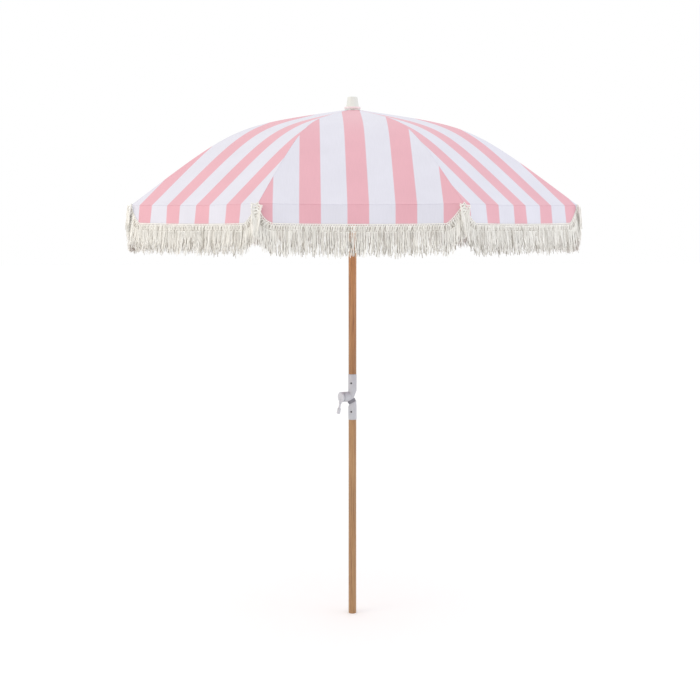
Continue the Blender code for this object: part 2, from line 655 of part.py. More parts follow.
def curtain_mesh():
    """The valance and fringe about one rib tip, as a bent sheet; origin at the tip."""
    work = bmesh.new()
    wing = CANOPY_RADIUS * math.sin(HALF_STEP) - GAP / 2
    distances = [0, 0.006, 0.016, 0.032, VALANCE_CORNER, wing]
    columns = []
    for distance in [-d for d in reversed(distances[1:])] + distances:
        outward, aside = -abs(distance) * math.sin(HALF_STEP), distance * math.cos(HALF_STEP)
        bottom = -edge_drop(abs(distance)) - FRINGE_LENGTH
        columns.append([work.verts.new((outward, aside, z)) for z in (bottom, -0.0021)])
    for left, right in zip(columns, columns[1:]):
        work.faces.new((left[0], right[0], right[1], left[1]))
    mesh = bpy.data.meshes.new("curtain")
    work.to_mesh(mesh)
    work.free()
    return mesh


def add_thickness(obj, thickness):
    solidify = obj.modifiers.new("Thickness", "SOLIDIFY")
    solidify.thickness = thickness
    solidify.offset = -1
    solidify.use_even_offset = True


def build_spokes():
    """The eight ribs with what moves on each: a stretcher, two half gores and a valance."""
    rib, stretcher = rib_mesh(), stretcher_mesh()
    halves = {1: half_gore_mesh("half_gore_right", 1), -1: half_gore_mesh("half_gore_left", -1)}
    curtain = curtain_mesh()
    for i in range(1, RIB_COUNT + 1):
        crown_pivot = spoke(i) @ Matrix.Translation(CROWN_PIVOT)
        rib_obj = add_object(
            f"rib_{i}", rib, PARASOL, RIB_COAT, Matrix.Translation(-RING_CENTRE) @ crown_pivot, SWIVEL
        )
        on_rib = Matrix.Translation(-CROWN_PIVOT)
        add_object(
            f"stretcher_{i}", stretcher, PARASOL, RIB_COAT, on_rib @ Matrix.Translation(RIB_BRACKET), rib_obj
        )
        for side, word in ((1, "right"), (-1, "left")):
            hinge = Matrix.Translation((0, side * PIVOT_RADIUS * math.tan(HALF_STEP / 2), 0))
            panel = add_object(f"half_gore_{i}_{word}", halves[side], PARASOL, CANVAS, hinge, rib_obj)
            add_thickness(panel, CLOTH_THICKNESS)
        valance = add_object(
            f"valance_{i}", curtain, PARASOL, FRINGE, on_rib @ Matrix.Translation(RIB_TIP), rib_obj
        )
        add_thickness(valance, CURTAIN_THICKNESS)


clear_scene()
PARASOL = new_collection("beach_parasol")
CUTTERS = new_collection("cutters")
SWIVEL = add_empty("tilt_swivel_axis", RING_CENTRE)
LEVER = add_empty("lever_axis", (0, 0, 0), SWIVEL)
LEVER.matrix_local = Matrix.Translation(-RING_CENTRE) @ frame_at(CLAMP_ORIGIN, CLAMP_AXIS, UP)
RUNNER = add_empty("runner_axis", Vector((0, 0, RUNNER_PIVOT_HEIGHT)) - RING_CENTRE, SWIVEL)
bpy.context.view_layer.update()

build_pole()
build_pole_screw("lower_screw", LOWER_SCREW_HEIGHT, add_on_ground)
build_pole_screw("upper_screw", UPPER_SCREW_HEIGHT, add_on_swivel)
build_lower_knuckle()
build_upper_knuckle()
build_clutch_ring()
build_swivel_pin()
build_clamp()
build_crown()
build_finial()
build_runner()
build_spokes()
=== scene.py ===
"""A fringed, striped beach parasol with an oblique tilt joint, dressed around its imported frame.

Each sub-assembly is a class with its sizes as fields. Cloth is modelled as cloth: roof panels
that bend between the ribs, a hanging valance with round corners, and a knotted cotton fringe.
"""

import json
import logging
import math
from dataclasses import dataclass
from enum import Enum
from typing import Any, Sequence

import bmesh
import bpy
import numpy as np
from mathutils import Matrix, Vector

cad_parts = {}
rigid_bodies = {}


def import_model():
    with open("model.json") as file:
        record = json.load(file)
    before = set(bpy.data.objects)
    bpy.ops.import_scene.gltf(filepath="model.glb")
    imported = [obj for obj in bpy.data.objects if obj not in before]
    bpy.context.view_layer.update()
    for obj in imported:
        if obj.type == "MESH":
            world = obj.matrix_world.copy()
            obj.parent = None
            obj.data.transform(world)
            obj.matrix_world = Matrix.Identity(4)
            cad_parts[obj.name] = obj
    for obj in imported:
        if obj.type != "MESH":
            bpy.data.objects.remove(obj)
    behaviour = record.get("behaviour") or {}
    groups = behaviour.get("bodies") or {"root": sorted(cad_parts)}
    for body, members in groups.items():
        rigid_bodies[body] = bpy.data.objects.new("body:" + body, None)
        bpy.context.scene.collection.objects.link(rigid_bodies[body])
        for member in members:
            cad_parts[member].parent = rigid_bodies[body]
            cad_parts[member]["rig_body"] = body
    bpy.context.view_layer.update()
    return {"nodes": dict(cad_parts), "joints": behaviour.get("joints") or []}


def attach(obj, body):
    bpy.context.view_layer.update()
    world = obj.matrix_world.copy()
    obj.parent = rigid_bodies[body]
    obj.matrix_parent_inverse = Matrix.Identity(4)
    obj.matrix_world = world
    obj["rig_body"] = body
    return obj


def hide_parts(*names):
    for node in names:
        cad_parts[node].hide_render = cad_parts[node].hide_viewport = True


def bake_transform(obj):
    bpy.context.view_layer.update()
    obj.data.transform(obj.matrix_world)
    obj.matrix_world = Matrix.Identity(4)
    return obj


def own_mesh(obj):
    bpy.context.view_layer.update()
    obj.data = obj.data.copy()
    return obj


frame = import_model()

LOG = logging.getLogger("parasol")
MM = 0.001
RIB_COUNT = 8
HALF_STEP = math.pi / RIB_COUNT
FIRST_RIB = -math.pi / 2 + HALF_STEP  # the front panel is centred on -Y
JOINTS = {joint["name"]: joint for joint in frame["joints"]}


class Side(Enum):
    """The two halves of the cloth at a rib, seen from above."""

    LEFT = -1  # clockwise of the rib
    RIGHT = 1  # anticlockwise of the rib

    @property
    def label(self) -> str:
        """The word that names this side in pieces and bodies."""
        return self.name.lower()


# ---- small shared tools ----


def linear(code: str) -> tuple[float, float, float, float]:
    """Turn an sRGB hex colour into linear RGBA.

    Args:
        code: Six hex digits, with or without a leading #.

    Returns:
        The colour as four floats, with alpha 1.
    """
    values = [int(code.lstrip("#")[i : i + 2], 16) / 255 for i in (0, 2, 4)]
    low = [v / 12.92 if v <= 0.04045 else ((v + 0.055) / 1.055) ** 2.4 for v in values]
    return (low[0], low[1], low[2], 1.0)


def add_node(
    tree: bpy.types.NodeTree,
    kind: str,
    inputs: dict[Any, Any] | None = None,
    **settings: Any,
) -> bpy.types.Node:
    """Add a node with its settings, and fill its inputs.

    Args:
        tree: The node tree that takes the node.
        kind: The node's type.
        inputs: Socket name or number to a value, a node (its first output), or a pair of a
            node and the name or number of its output.
        **settings: Properties to set on the node before its sockets are filled.

    Returns:
        The new node.
    """
    node = tree.nodes.new(kind)
    for key, value in settings.items():
        setattr(node, key, value)
    for key, value in (inputs or {}).items():
        if isinstance(value, bpy.types.Node):
            tree.links.new(value.outputs[0], node.inputs[key])
        elif isinstance(value, tuple) and isinstance(value[0], bpy.types.Node):
            tree.links.new(value[0].outputs[value[1]], node.inputs[key])
        else:
            node.inputs[key].default_value = value
    return node


def link_object(name: str, mesh: bpy.types.Mesh) -> bpy.types.Object:
    """Put a mesh in the scene as an unmoved object.

    Args:
        name: The object's name.
        mesh: Its mesh, already in place.

    Returns:
        The new object.
    """
    obj = bpy.data.objects.new(name, mesh)
    bpy.context.scene.collection.objects.link(obj)
    return obj


def set_smooth(mesh: bpy.types.Mesh, angle: float = math.radians(38)) -> None:
    """Shade a mesh smooth, and keep edges sharper than the angle crisp.

    Args:
        mesh: The mesh to shade.
        angle: The largest angle between faces that still shades as a curve.
    """
    work = bmesh.new()
    work.from_mesh(mesh)
    for face in work.faces:
        face.smooth = True
    for edge in work.edges:
        edge.smooth = len(edge.link_faces) == 2 and edge.calc_face_angle(0.0) < angle
    work.to_mesh(mesh)
    work.free()


def dress(
    obj: bpy.types.Object, material: bpy.types.Material, body: str
) -> bpy.types.Object:
    """Give a finished piece its material and the body that it rides on.

    Args:
        obj: The piece, in place.
        material: Its only material.
        body: The CAD body that carries it.

    Returns:
        The same object.
    """
    obj.data.materials.clear()
    obj.data.materials.append(material)
    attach(obj, body)
    return obj


# ---- finishes ----


def new_material(name: str) -> tuple[bpy.types.Material, bpy.types.NodeTree, bpy.types.Node]:
    """Start a material with only a Principled shader and its output.

    Args:
        name: What the finish is.

    Returns:
        The material, its tree and the shader node.
    """
    material = bpy.data.materials.new(name)
    material.use_nodes = True
    tree = material.node_tree
    tree.nodes.clear()
    shader = add_node(tree, "ShaderNodeBsdfPrincipled")
    add_node(tree, "ShaderNodeOutputMaterial", {"Surface": shader})
    return material, tree, shader


@dataclass(frozen=True)
class StripedCanvas:
    """Acrylic awning canvas, yarn-dyed and plain-woven: matt, with crisp stripe edges."""

    white: str = "D5D5E0"
    pink: str = "DBA6B1"
    period: float = 161 * MM
    pink_width: float = 72.5 * MM
    edge_blur: float = 0.5 * MM  # one or two threads of bleed at each colour change
    thread: float = 1.6 * MM  # real threads are 0.5 mm apart, too fine to show
    thread_share: float = 0.35  # the threads' height against that of the slubs
    slubs: tuple[float, float, float] = (330.0, 16.0, 1.0)  # per metre: 3 mm wide, 60 mm long
    patches: float = 7.0  # faded patches per metre, each about 140 mm across
    darkest: float = 0.955  # how far slubs and patches darken the yarn
    lightest: float = 1.03  # and how far they lighten it
    relief: float = 0.4 * MM
    roughness: float = 0.86
    sheen: float = 0.18

    def build(self) -> bpy.types.Material:
        """Make the material. It reads the cloth UV map, whose unit is a metre of cloth.

        Returns:
            The material.
        """
        material, tree, shader = new_material("striped_awning_canvas")
        uv = add_node(tree, "ShaderNodeUVMap", uv_map="cloth")
        axes = add_node(tree, "ShaderNodeSeparateXYZ", {0: uv})
        # periods from the middle of the nearest pink stripe
        turns = add_node(tree, "ShaderNodeMath", {0: axes, 1: self.period}, operation="DIVIDE")
        turns = add_node(tree, "ShaderNodeMath", {0: turns, 1: 0.5}, operation="ADD")
        turns = add_node(tree, "ShaderNodeMath", {0: turns}, operation="FRACT")
        turns = add_node(tree, "ShaderNodeMath", {0: turns, 1: 0.5}, operation="SUBTRACT")
        away = add_node(tree, "ShaderNodeMath", {0: turns}, operation="ABSOLUTE")
        half = self.pink_width / self.period / 2
        blur = self.edge_blur / self.period
        mask = add_node(
            tree, "ShaderNodeMapRange",
            {0: away, 1: half - blur, 2: half + blur, 3: 1.0, 4: 0.0},
        )
        colour = add_node(
            tree, "ShaderNodeMix", {0: mask, 6: linear(self.white), 7: linear(self.pink)},
            data_type="RGBA",
        )
        # slubs: long faint streaks along the warp
        streaks = add_node(tree, "ShaderNodeMapping", {0: uv, 3: self.slubs})
        slub = add_node(tree, "ShaderNodeTexNoise", {0: streaks, "Scale": 1.0, "Detail": 3.0})
        cloud = add_node(
            tree, "ShaderNodeTexNoise", {0: uv, "Scale": self.patches, "Detail": 2.0}
        )
        tone = add_node(tree, "ShaderNodeMath", {0: slub, 1: cloud}, operation="ADD")
        tone = add_node(
            tree, "ShaderNodeMapRange",
            {0: tone, 1: 0.6, 2: 1.4, 3: self.darkest, 4: self.lightest},
        )
        shade = add_node(
            tree, "ShaderNodeVectorMath", {0: (colour, 2), "Scale": tone}, operation="SCALE"
        )
        tree.links.new(shade.outputs[0], shader.inputs["Base Color"])
        # plain weave: the product of a warp wave and a weft wave
        waves = []
        for axis in (0, 1):
            phase = add_node(
                tree, "ShaderNodeMath", {0: (axes, axis), 1: math.tau / self.thread},
                operation="MULTIPLY",
            )
            waves.append(add_node(tree, "ShaderNodeMath", {0: phase}, operation="SINE"))
        weave = add_node(tree, "ShaderNodeMath", {0: waves[0], 1: waves[1]},
                         operation="MULTIPLY")
        height = add_node(
            tree, "ShaderNodeMath", {0: weave, 1: self.thread_share, 2: slub},
            operation="MULTIPLY_ADD",
        )
        bump = add_node(
            tree, "ShaderNodeBump", {"Height": height, "Strength": 0.22, "Distance": self.relief}
        )
        tree.links.new(bump.outputs[0], shader.inputs["Normal"])
        shader.inputs["Roughness"].default_value = self.roughness
        shader.inputs["Sheen Weight"].default_value = self.sheen
        shader.inputs["Sheen Roughness"].default_value = 0.5
        return material


@dataclass(frozen=True)
class CottonYarn:
    """Undyed twisted cotton: matt and fuzzy, each strand a little lighter or browner."""

    name: str
    light: str
    middle: str
    dark: str
    twist: float = 2.4 * MM  # one turn of the yarn, drawn about twice as coarse as real
    fuzz_depth: float = 0.6 * MM
    darkest: float = 0.9  # painted shade: the hollows of the twist are drawn this much darker
    lightest: float = 1.04
    roughness: float = 0.92
    sheen: float = 0.25

    def build(self) -> bpy.types.Material:
        """Make the material. It reads each strand's own shade from the mesh.

        Returns:
            The material.
        """
        material, tree, shader = new_material(self.name)
        shade = add_node(tree, "ShaderNodeAttribute", attribute_name="shade")
        ramp = add_node(tree, "ShaderNodeValToRGB", {0: (shade, "Fac")})
        stops = ramp.color_ramp.elements
        stops[0].position, stops[0].color = 0.0, linear(self.light)
        stops[1].position, stops[1].color = 1.0, linear(self.dark)
        stops.new(0.5).color = linear(self.middle)
        place = add_node(tree, "ShaderNodeTexCoord")
        fuzz = add_node(
            tree, "ShaderNodeTexNoise",
            {0: (place, "Object"), "Scale": 1 / self.twist, "Detail": 3.0},
        )
        # painted shade: the yarn is darker where the twist's bump is low, and a little lighter
        # where it is high
        tone = add_node(
            tree, "ShaderNodeMapRange",
            {0: fuzz, 1: 0.3, 2: 0.7, 3: self.darkest, 4: self.lightest},
        )
        colour = add_node(
            tree, "ShaderNodeVectorMath", {0: ramp, "Scale": tone}, operation="SCALE"
        )
        tree.links.new(colour.outputs[0], shader.inputs["Base Color"])
        bump = add_node(
            tree, "ShaderNodeBump", {"Height": fuzz, "Strength": 0.5, "Distance": self.fuzz_depth}
        )
        tree.links.new(bump.outputs[0], shader.inputs["Normal"])
        shader.inputs["Roughness"].default_value = self.roughness
        shader.inputs["Sheen Weight"].default_value = self.sheen
        return material


@dataclass(frozen=True)
class VarnishedAsh:
    """Turned ash under clear satin varnish: straight open grain, warm, softly glossy."""

    name: str
    pale: str
    warm: str
    grain: str
    ring: float = 4.5 * MM  # width of one growth ring on the turned face
    streak: float = 45.0  # a ring's streak is this many times as long as it is wide
    pores: float = 5.0  # pores across one ring
    pore_run: float = 6.0  # a row of pores is this many rings long
    pore_depth: float = 0.15 * MM
    foot: float = 0.0  # the stick darkens or pales slowly between these two heights; on the upper pole this is painted light, lighter towards its top against the canopy's shadow
    foot_tone: float = 1.0
    head: float = 1.0
    head_tone: float = 1.0

    def build(self) -> bpy.types.Material:
        """Make the material, with its grain along the pole.

        Returns:
            The material.
        """
        material, tree, shader = new_material(self.name)
        place = add_node(tree, "ShaderNodeTexCoord")
        across = 1 / self.ring
        long_grain = add_node(
            tree, "ShaderNodeMapping",
            {0: (place, "Object"), 3: (across, across, across / self.streak)},
        )
        rings = add_node(
            tree, "ShaderNodeTexNoise",
            {0: long_grain, "Scale": 1.0, "Detail": 4.0, "Roughness": 0.55, "Distortion": 0.8},
        )
        fine = across * self.pores
        pores_at = add_node(
            tree, "ShaderNodeMapping",
            {0: (place, "Object"), 3: (fine, fine, across / self.pore_run)},
        )
        pores = add_node(tree, "ShaderNodeTexNoise", {0: pores_at, "Scale": 1.0, "Detail": 2.0})
        slow = add_node(
            tree, "ShaderNodeTexNoise", {0: (place, "Object"), "Scale": 3.0, "Detail": 1.0}
        )
        ramp = add_node(tree, "ShaderNodeValToRGB", {0: rings})
        stops = ramp.color_ramp.elements
        stops[0].position, stops[0].color = 0.3, linear(self.grain)
        stops[1].position, stops[1].color = 0.68, linear(self.pale)
        stops.new(0.5).color = linear(self.warm)
        fleck = add_node(tree, "ShaderNodeMapRange", {0: pores, 1: 0.3, 2: 0.55, 3: 0.84, 4: 1.0})
        drift = add_node(tree, "ShaderNodeMapRange", {0: slow, 1: 0.3, 2: 0.7, 3: 0.93, 4: 1.05})
        axes = add_node(tree, "ShaderNodeSeparateXYZ", {0: (place, "Object")})
        # painted light: the tone changes slowly with height, lighter towards the upper pole's top
        painted_light_fade = add_node(
            tree, "ShaderNodeMapRange",
            {0: (axes, 2), 1: self.foot, 2: self.head, 3: self.foot_tone, 4: self.head_tone},
        )
        tone = add_node(tree, "ShaderNodeMath", {0: fleck, 1: drift}, operation="MULTIPLY")
        tone = add_node(tree, "ShaderNodeMath", {0: tone, 1: painted_light_fade}, operation="MULTIPLY")
        colour = add_node(
            tree, "ShaderNodeVectorMath", {0: ramp, "Scale": tone}, operation="SCALE"
        )
        tree.links.new(colour.outputs[0], shader.inputs["Base Color"])
        rough = add_node(
            tree, "ShaderNodeMapRange", {0: pores, 1: 0.3, 2: 0.7, 3: 0.55, 4: 0.4}
        )
        tree.links.new(rough.outputs[0], shader.inputs["Roughness"])
        bump = add_node(
            tree, "ShaderNodeBump",
            {"Height": pores, "Strength": 0.25, "Distance": self.pore_depth},
        )
        tree.links.new(bump.outputs[0], shader.inputs["Normal"])
        shader.inputs["Coat Weight"].default_value = 0.3
        shader.inputs["Coat Roughness"].default_value = 0.22
        return material


@dataclass(frozen=True)
class HardFinish:
    """A moulded, coated or plated surface: fine texture, slight mottling and soft gloss."""

    name: str
    colour: str
    roughness: float
    texture: float  # size of the surface's fine bumps, drawn no finer than shows
    depth: float = 0.05 * MM
    mottle: float = 0.05  # how far the colour drifts
    metallic: float = 0.0
    coat: float = 0.0
    patches: float = 45.0  # mottled patches per metre, each about 22 mm across

    def build(self) -> bpy.types.Material:
        """Make the material on Object coordinates.

        Returns:
            The material.
        """
        material, tree, shader = new_material(self.name)
        place = add_node(tree, "ShaderNodeTexCoord")
        marks = add_node(
            tree, "ShaderNodeMapping", {0: (place, "Object"), 3: (1 / self.texture,) * 3}
        )
        fine = add_node(tree, "ShaderNodeTexNoise", {0: marks, "Scale": 1.0, "Detail": 2.0})
        patches = add_node(
            tree, "ShaderNodeTexNoise",
            {0: (place, "Object"), "Scale": self.patches, "Detail": 3.0},
        )
        tone = add_node(
            tree, "ShaderNodeMapRange",
            {0: patches, 1: 0.3, 2: 0.7, 3: 1 - self.mottle, 4: 1 + self.mottle / 2},
        )
        colour = add_node(
            tree, "ShaderNodeVectorMath", {0: linear(self.colour)[:3], "Scale": tone},
            operation="SCALE",
        )
        tree.links.new(colour.outputs[0], shader.inputs["Base Color"])
        rough = add_node(
            tree, "ShaderNodeMapRange",
            {0: patches, 1: 0.3, 2: 0.7, 3: self.roughness + 0.06, 4: self.roughness - 0.04},
        )
        tree.links.new(rough.outputs[0], shader.inputs["Roughness"])
        bump = add_node(
            tree, "ShaderNodeBump", {"Height": fine, "Strength": 0.35, "Distance": self.depth}
        )
        tree.links.new(bump.outputs[0], shader.inputs["Normal"])
        shader.inputs["Metallic"].default_value = self.metallic
        shader.inputs["Coat Weight"].default_value = self.coat
        return material


# the tilt joint's castings: white polyester powder coat, faintly orange-peeled and cool
POWDER_COAT = HardFinish("white_powder_coat", "B9BAC0", 0.42, 0.9 * MM, coat=0.1)
# the friction ring: glass-filled nylon, dark grey and dull
NYLON = HardFinish("dark_moulded_nylon", "87868E", 0.6, 0.7 * MM, mottle=0.08)
# the pole's cross screws: black oxide on steel, oily dark grey
BLACK_OXIDE = HardFinish("black_oxide_steel", "1C171B", 0.6, 0.5 * MM, metallic=0.2)
# pin, bolt and ring wires: bright zinc plate
ZINC = HardFinish("zinc_plated_steel", "B9B9BB", 0.3, 0.6 * MM, metallic=1.0)
# crown, runner and finial: ABS with a fine moulded satin
ABS = HardFinish("white_moulded_abs", "DCE0DA", 0.36, 0.8 * MM, mottle=0.03)
# knob, lever and thumbscrew: the same plastic, drawn cooler and greyer; the grey is partly the
# plastic's own and partly painted shade on the knob
ABS_GREY = HardFinish("pale_grey_moulded_abs", "C4C5CB", 0.38, 0.8 * MM, mottle=0.04)
# the washer under the finial: soft vinyl, faintly pink all over
SOFT_WASHER = HardFinish("soft_pale_vinyl", "EADCDD", 0.5, 1.2 * MM, mottle=0.03)
# ribs and stretchers: stoved white enamel on drawn steel rod, slightly glossy
ENAMEL = HardFinish("white_stoved_enamel", "D9D9D7", 0.3, 1.4 * MM, coat=0.25, mottle=0.06)
# roof and valance: the striped cloth
CANVAS = StripedCanvas()
# the fringe: loose cotton, each strand a little lighter or browner; strands that lie behind
# others are painted darker, as painted shade
FRINGE_YARN = CottonYarn("ivory_cotton_yarn", "FCFBF7", "EBE9E3", "9B9388")
# seams and hems: smooth bonded thread, with hardly any shade of its own
STITCH_THREAD = CottonYarn("white_polyester_thread", "ECEBEE", "E2E1E6", "D2CFD6")
# the pole's two halves come from different planks: a warm one over a pale one; the warm one is
# also painted lighter towards its top, as painted light
UPPER_ASH = VarnishedAsh("varnished_ash_warm", "C4905C", "B67F4D", "8E5B34",
                         foot=1.0, foot_tone=0.68, head=1.75, head_tone=1.42)
LOWER_ASH = VarnishedAsh("varnished_ash_pale", "B08A60", "A57C51", "885F3C",
                         foot=0.0, foot_tone=0.97, head=0.8, head_tone=1.02)


# ---- the canopy's shape, which the cloth pieces share ----


def softplus(x: np.ndarray | float) -> np.ndarray | float:
    """A ramp that starts at 0 and turns softly into a slope of 1."""
    return np.logaddexp(0.0, x)


@dataclass(frozen=True)
class CanopyForm:
    """Where the opened cloth lies: eight flat-chorded panels over bent ribs, in metres."""

    radius: float = 0.9
    hole: float = 0.013
    top: float = 2.0563
    inner_slope: float = 0.164
    outer_slope: float = 0.743
    bend_radius: float = 0.494
    bend_softness: float = 0.0766
    sag: float = 0.026  # how far a panel's middle would sink between ribs, before tapering
    tautness: float = 0.84  # how much of the sag the taut eave takes away
    seam_height: float = 0.7 * MM  # the felled seam over each rib
    seam_half: float = 7 * MM
    sin: float = math.sin(HALF_STEP)
    cos: float = math.cos(HALF_STEP)

    def height(self, radius: np.ndarray | float) -> np.ndarray | float:
        """Height of a rib's outer line.

        Args:
            radius: Distance from the pole.

        Returns:
            The height, in the same shape.
        """
        soft, extra = self.bend_softness, self.outer_slope - self.inner_slope
        ramp = softplus((radius - self.bend_radius) / soft)
        ramp = ramp - softplus(-self.bend_radius / soft)
        return self.top - self.inner_slope * radius - extra * soft * ramp

    def sunk(self, radius: np.ndarray | float, share: np.ndarray | float) -> Any:
        """How far the cloth sinks below the chord between two ribs.

        Args:
            radius: Distance from the pole along the rib.
            share: 0 on the rib, 1 on the panel's middle line.

        Returns:
            The drop in metres.
        """
        out = radius / self.radius
        return self.sag * out * (1 - self.tautness * out) * share * (2 - share)

    def eave(self, share: np.ndarray | float) -> Any:
        """Height of the roof's lower edge, from the rib tip (0) to the middle (1)."""
        return self.height(self.radius) - self.sunk(self.radius, share)

    def rib_turn(self, rib: int) -> Matrix:
        """The turn from a rib's own frame (X outwards, Y anticlockwise) to the world."""
        return Matrix.Rotation(FIRST_RIB + (rib - 1) * 2 * HALF_STEP, 4, "Z")

    def place(self, rib: int, side: Side, radius: Any, along: Any, z: Any) -> np.ndarray:
        """World points from cloth coordinates.

        Args:
            rib: Which rib, from 1.
            side: Which half of the cloth at that rib.
            radius: Distance from the pole along the rib.
            along: Distance from the rib along the chord to its neighbour.
            z: Height.

        Returns:
            An array of points, one row each.
        """
        radius, along, z = np.broadcast_arrays(radius, along, z)
        local = np.stack(
            [radius - along * self.sin, side.value * along * self.cos, z], axis=-1
        ).reshape(-1, 3)
        turn = np.array(self.rib_turn(rib).to_3x3())
        return local @ turn.T

    def outward(self, rib: int, side: Side) -> Vector:
        """The level direction that a panel's hanging edge faces."""
        turn = FIRST_RIB + (rib - 1) * 2 * HALF_STEP + side.value * HALF_STEP
        return Vector((math.cos(turn), math.sin(turn), 0))


FORM = CanopyForm()
# how far each panel's stripe pattern was cut off centre, keyed by the rib on its left
PATTERN_SHIFT = {
    8: -0.010, 1: -0.027, 2: 0.041, 3: -0.055, 4: 0.018, 5: 0.066, 6: -0.034, 7: 0.063,
}
# how the cut corners bulge: 2 is a quarter circle, 1 a straight diagonal
CORNER_ROUND = {Side.LEFT: 1.2, Side.RIGHT: 1.45, (8, Side.RIGHT): 2.0}


def pattern_coordinate(rib: int, side: Side, radius: Any, along: Any) -> np.ndarray:
    """Distance across the stripes, which run down each panel's middle line.

    Args:
        rib: Which rib.
        side: Which half of the cloth at that rib.
        radius: Distance from the pole along the rib.
        along: Distance from the rib along the chord.

    Returns:
        Metres from the middle of a pink stripe.
    """
    panel = rib if side is Side.RIGHT else (rib - 2) % RIB_COUNT + 1
    from_middle = side.value * (np.asarray(along) - np.asarray(radius) * FORM.sin)
    return from_middle - PATTERN_SHIFT[panel]


def cloth_mesh(
    name: str, points: np.ndarray, rows: int, columns: int, uv: np.ndarray, flip: bool
) -> bpy.types.Mesh:
    """Build a rectangular grid of quads with a UV map in metres.

    Args:
        name: The mesh's name.
        points: rows x columns points, row by row.
        rows: Number of rows.
        columns: Number of columns.
        uv: One pair for each point.
        flip: Whether to turn the faces over, so that they look outwards.

    Returns:
        The mesh.
    """
    faces = []
    for row in range(rows - 1):
        for column in range(columns - 1):
            first = row * columns + column
            quad = (first, first + 1, first + columns + 1, first + columns)
            faces.append(quad[::-1] if flip else quad)
    mesh = bpy.data.meshes.new(name)
    mesh.from_pydata([tuple(p) for p in points], [], faces)
    layer = mesh.uv_layers.new(name="cloth")
    corners = np.zeros(len(mesh.loops), np.int32)
    mesh.loops.foreach_get("vertex_index", corners)
    layer.data.foreach_set("uv", uv[corners].astype(np.float32).ravel())
    set_smooth(mesh, math.radians(60))
    return mesh


def thicken(obj: bpy.types.Object, thickness: float) -> None:
    """Give a sheet its thickness, inwards from its outer face.

    Args:
        obj: The sheet.
        thickness: How thick it becomes.
    """
    modifier = obj.modifiers.new("thickness", "SOLIDIFY")
    modifier.thickness = thickness
    modifier.offset = -1.0


def polyline_mesh(
    name: str, lines: Sequence[np.ndarray], fields: dict[str, Sequence[np.ndarray]],
    levels: dict[str, Sequence[float]] | None = None,
) -> bpy.types.Mesh:
    """Build edge-only polylines that carry vector fields for Geometry Nodes to read.

    Args:
        name: The mesh's name.
        lines: One array of points for each line.
        fields: Field name to one array of vectors for each line.
        levels: Field name to one number for each line.

    Returns:
        The mesh.
    """
    points, edges = [], []
    for line in lines:
        start = len(points)
        points += [tuple(p) for p in line]
        edges += [(start + i, start + i + 1) for i in range(len(line) - 1)]
    mesh = bpy.data.meshes.new(name)
    mesh.from_pydata(points, edges, [])
    for key, arrays in fields.items():
        attribute = mesh.attributes.new(key, "FLOAT_VECTOR", "POINT")
        attribute.data.foreach_set("vector", np.concatenate(arrays).astype(np.float32).ravel())
    for key, numbers in (levels or {}).items():
        values = np.repeat(np.array(numbers, np.float32), [len(line) for line in lines])
        mesh.attributes.new(key, "FLOAT", "POINT").data.foreach_set("value", values)
    return mesh


# ---- Geometry Nodes ----


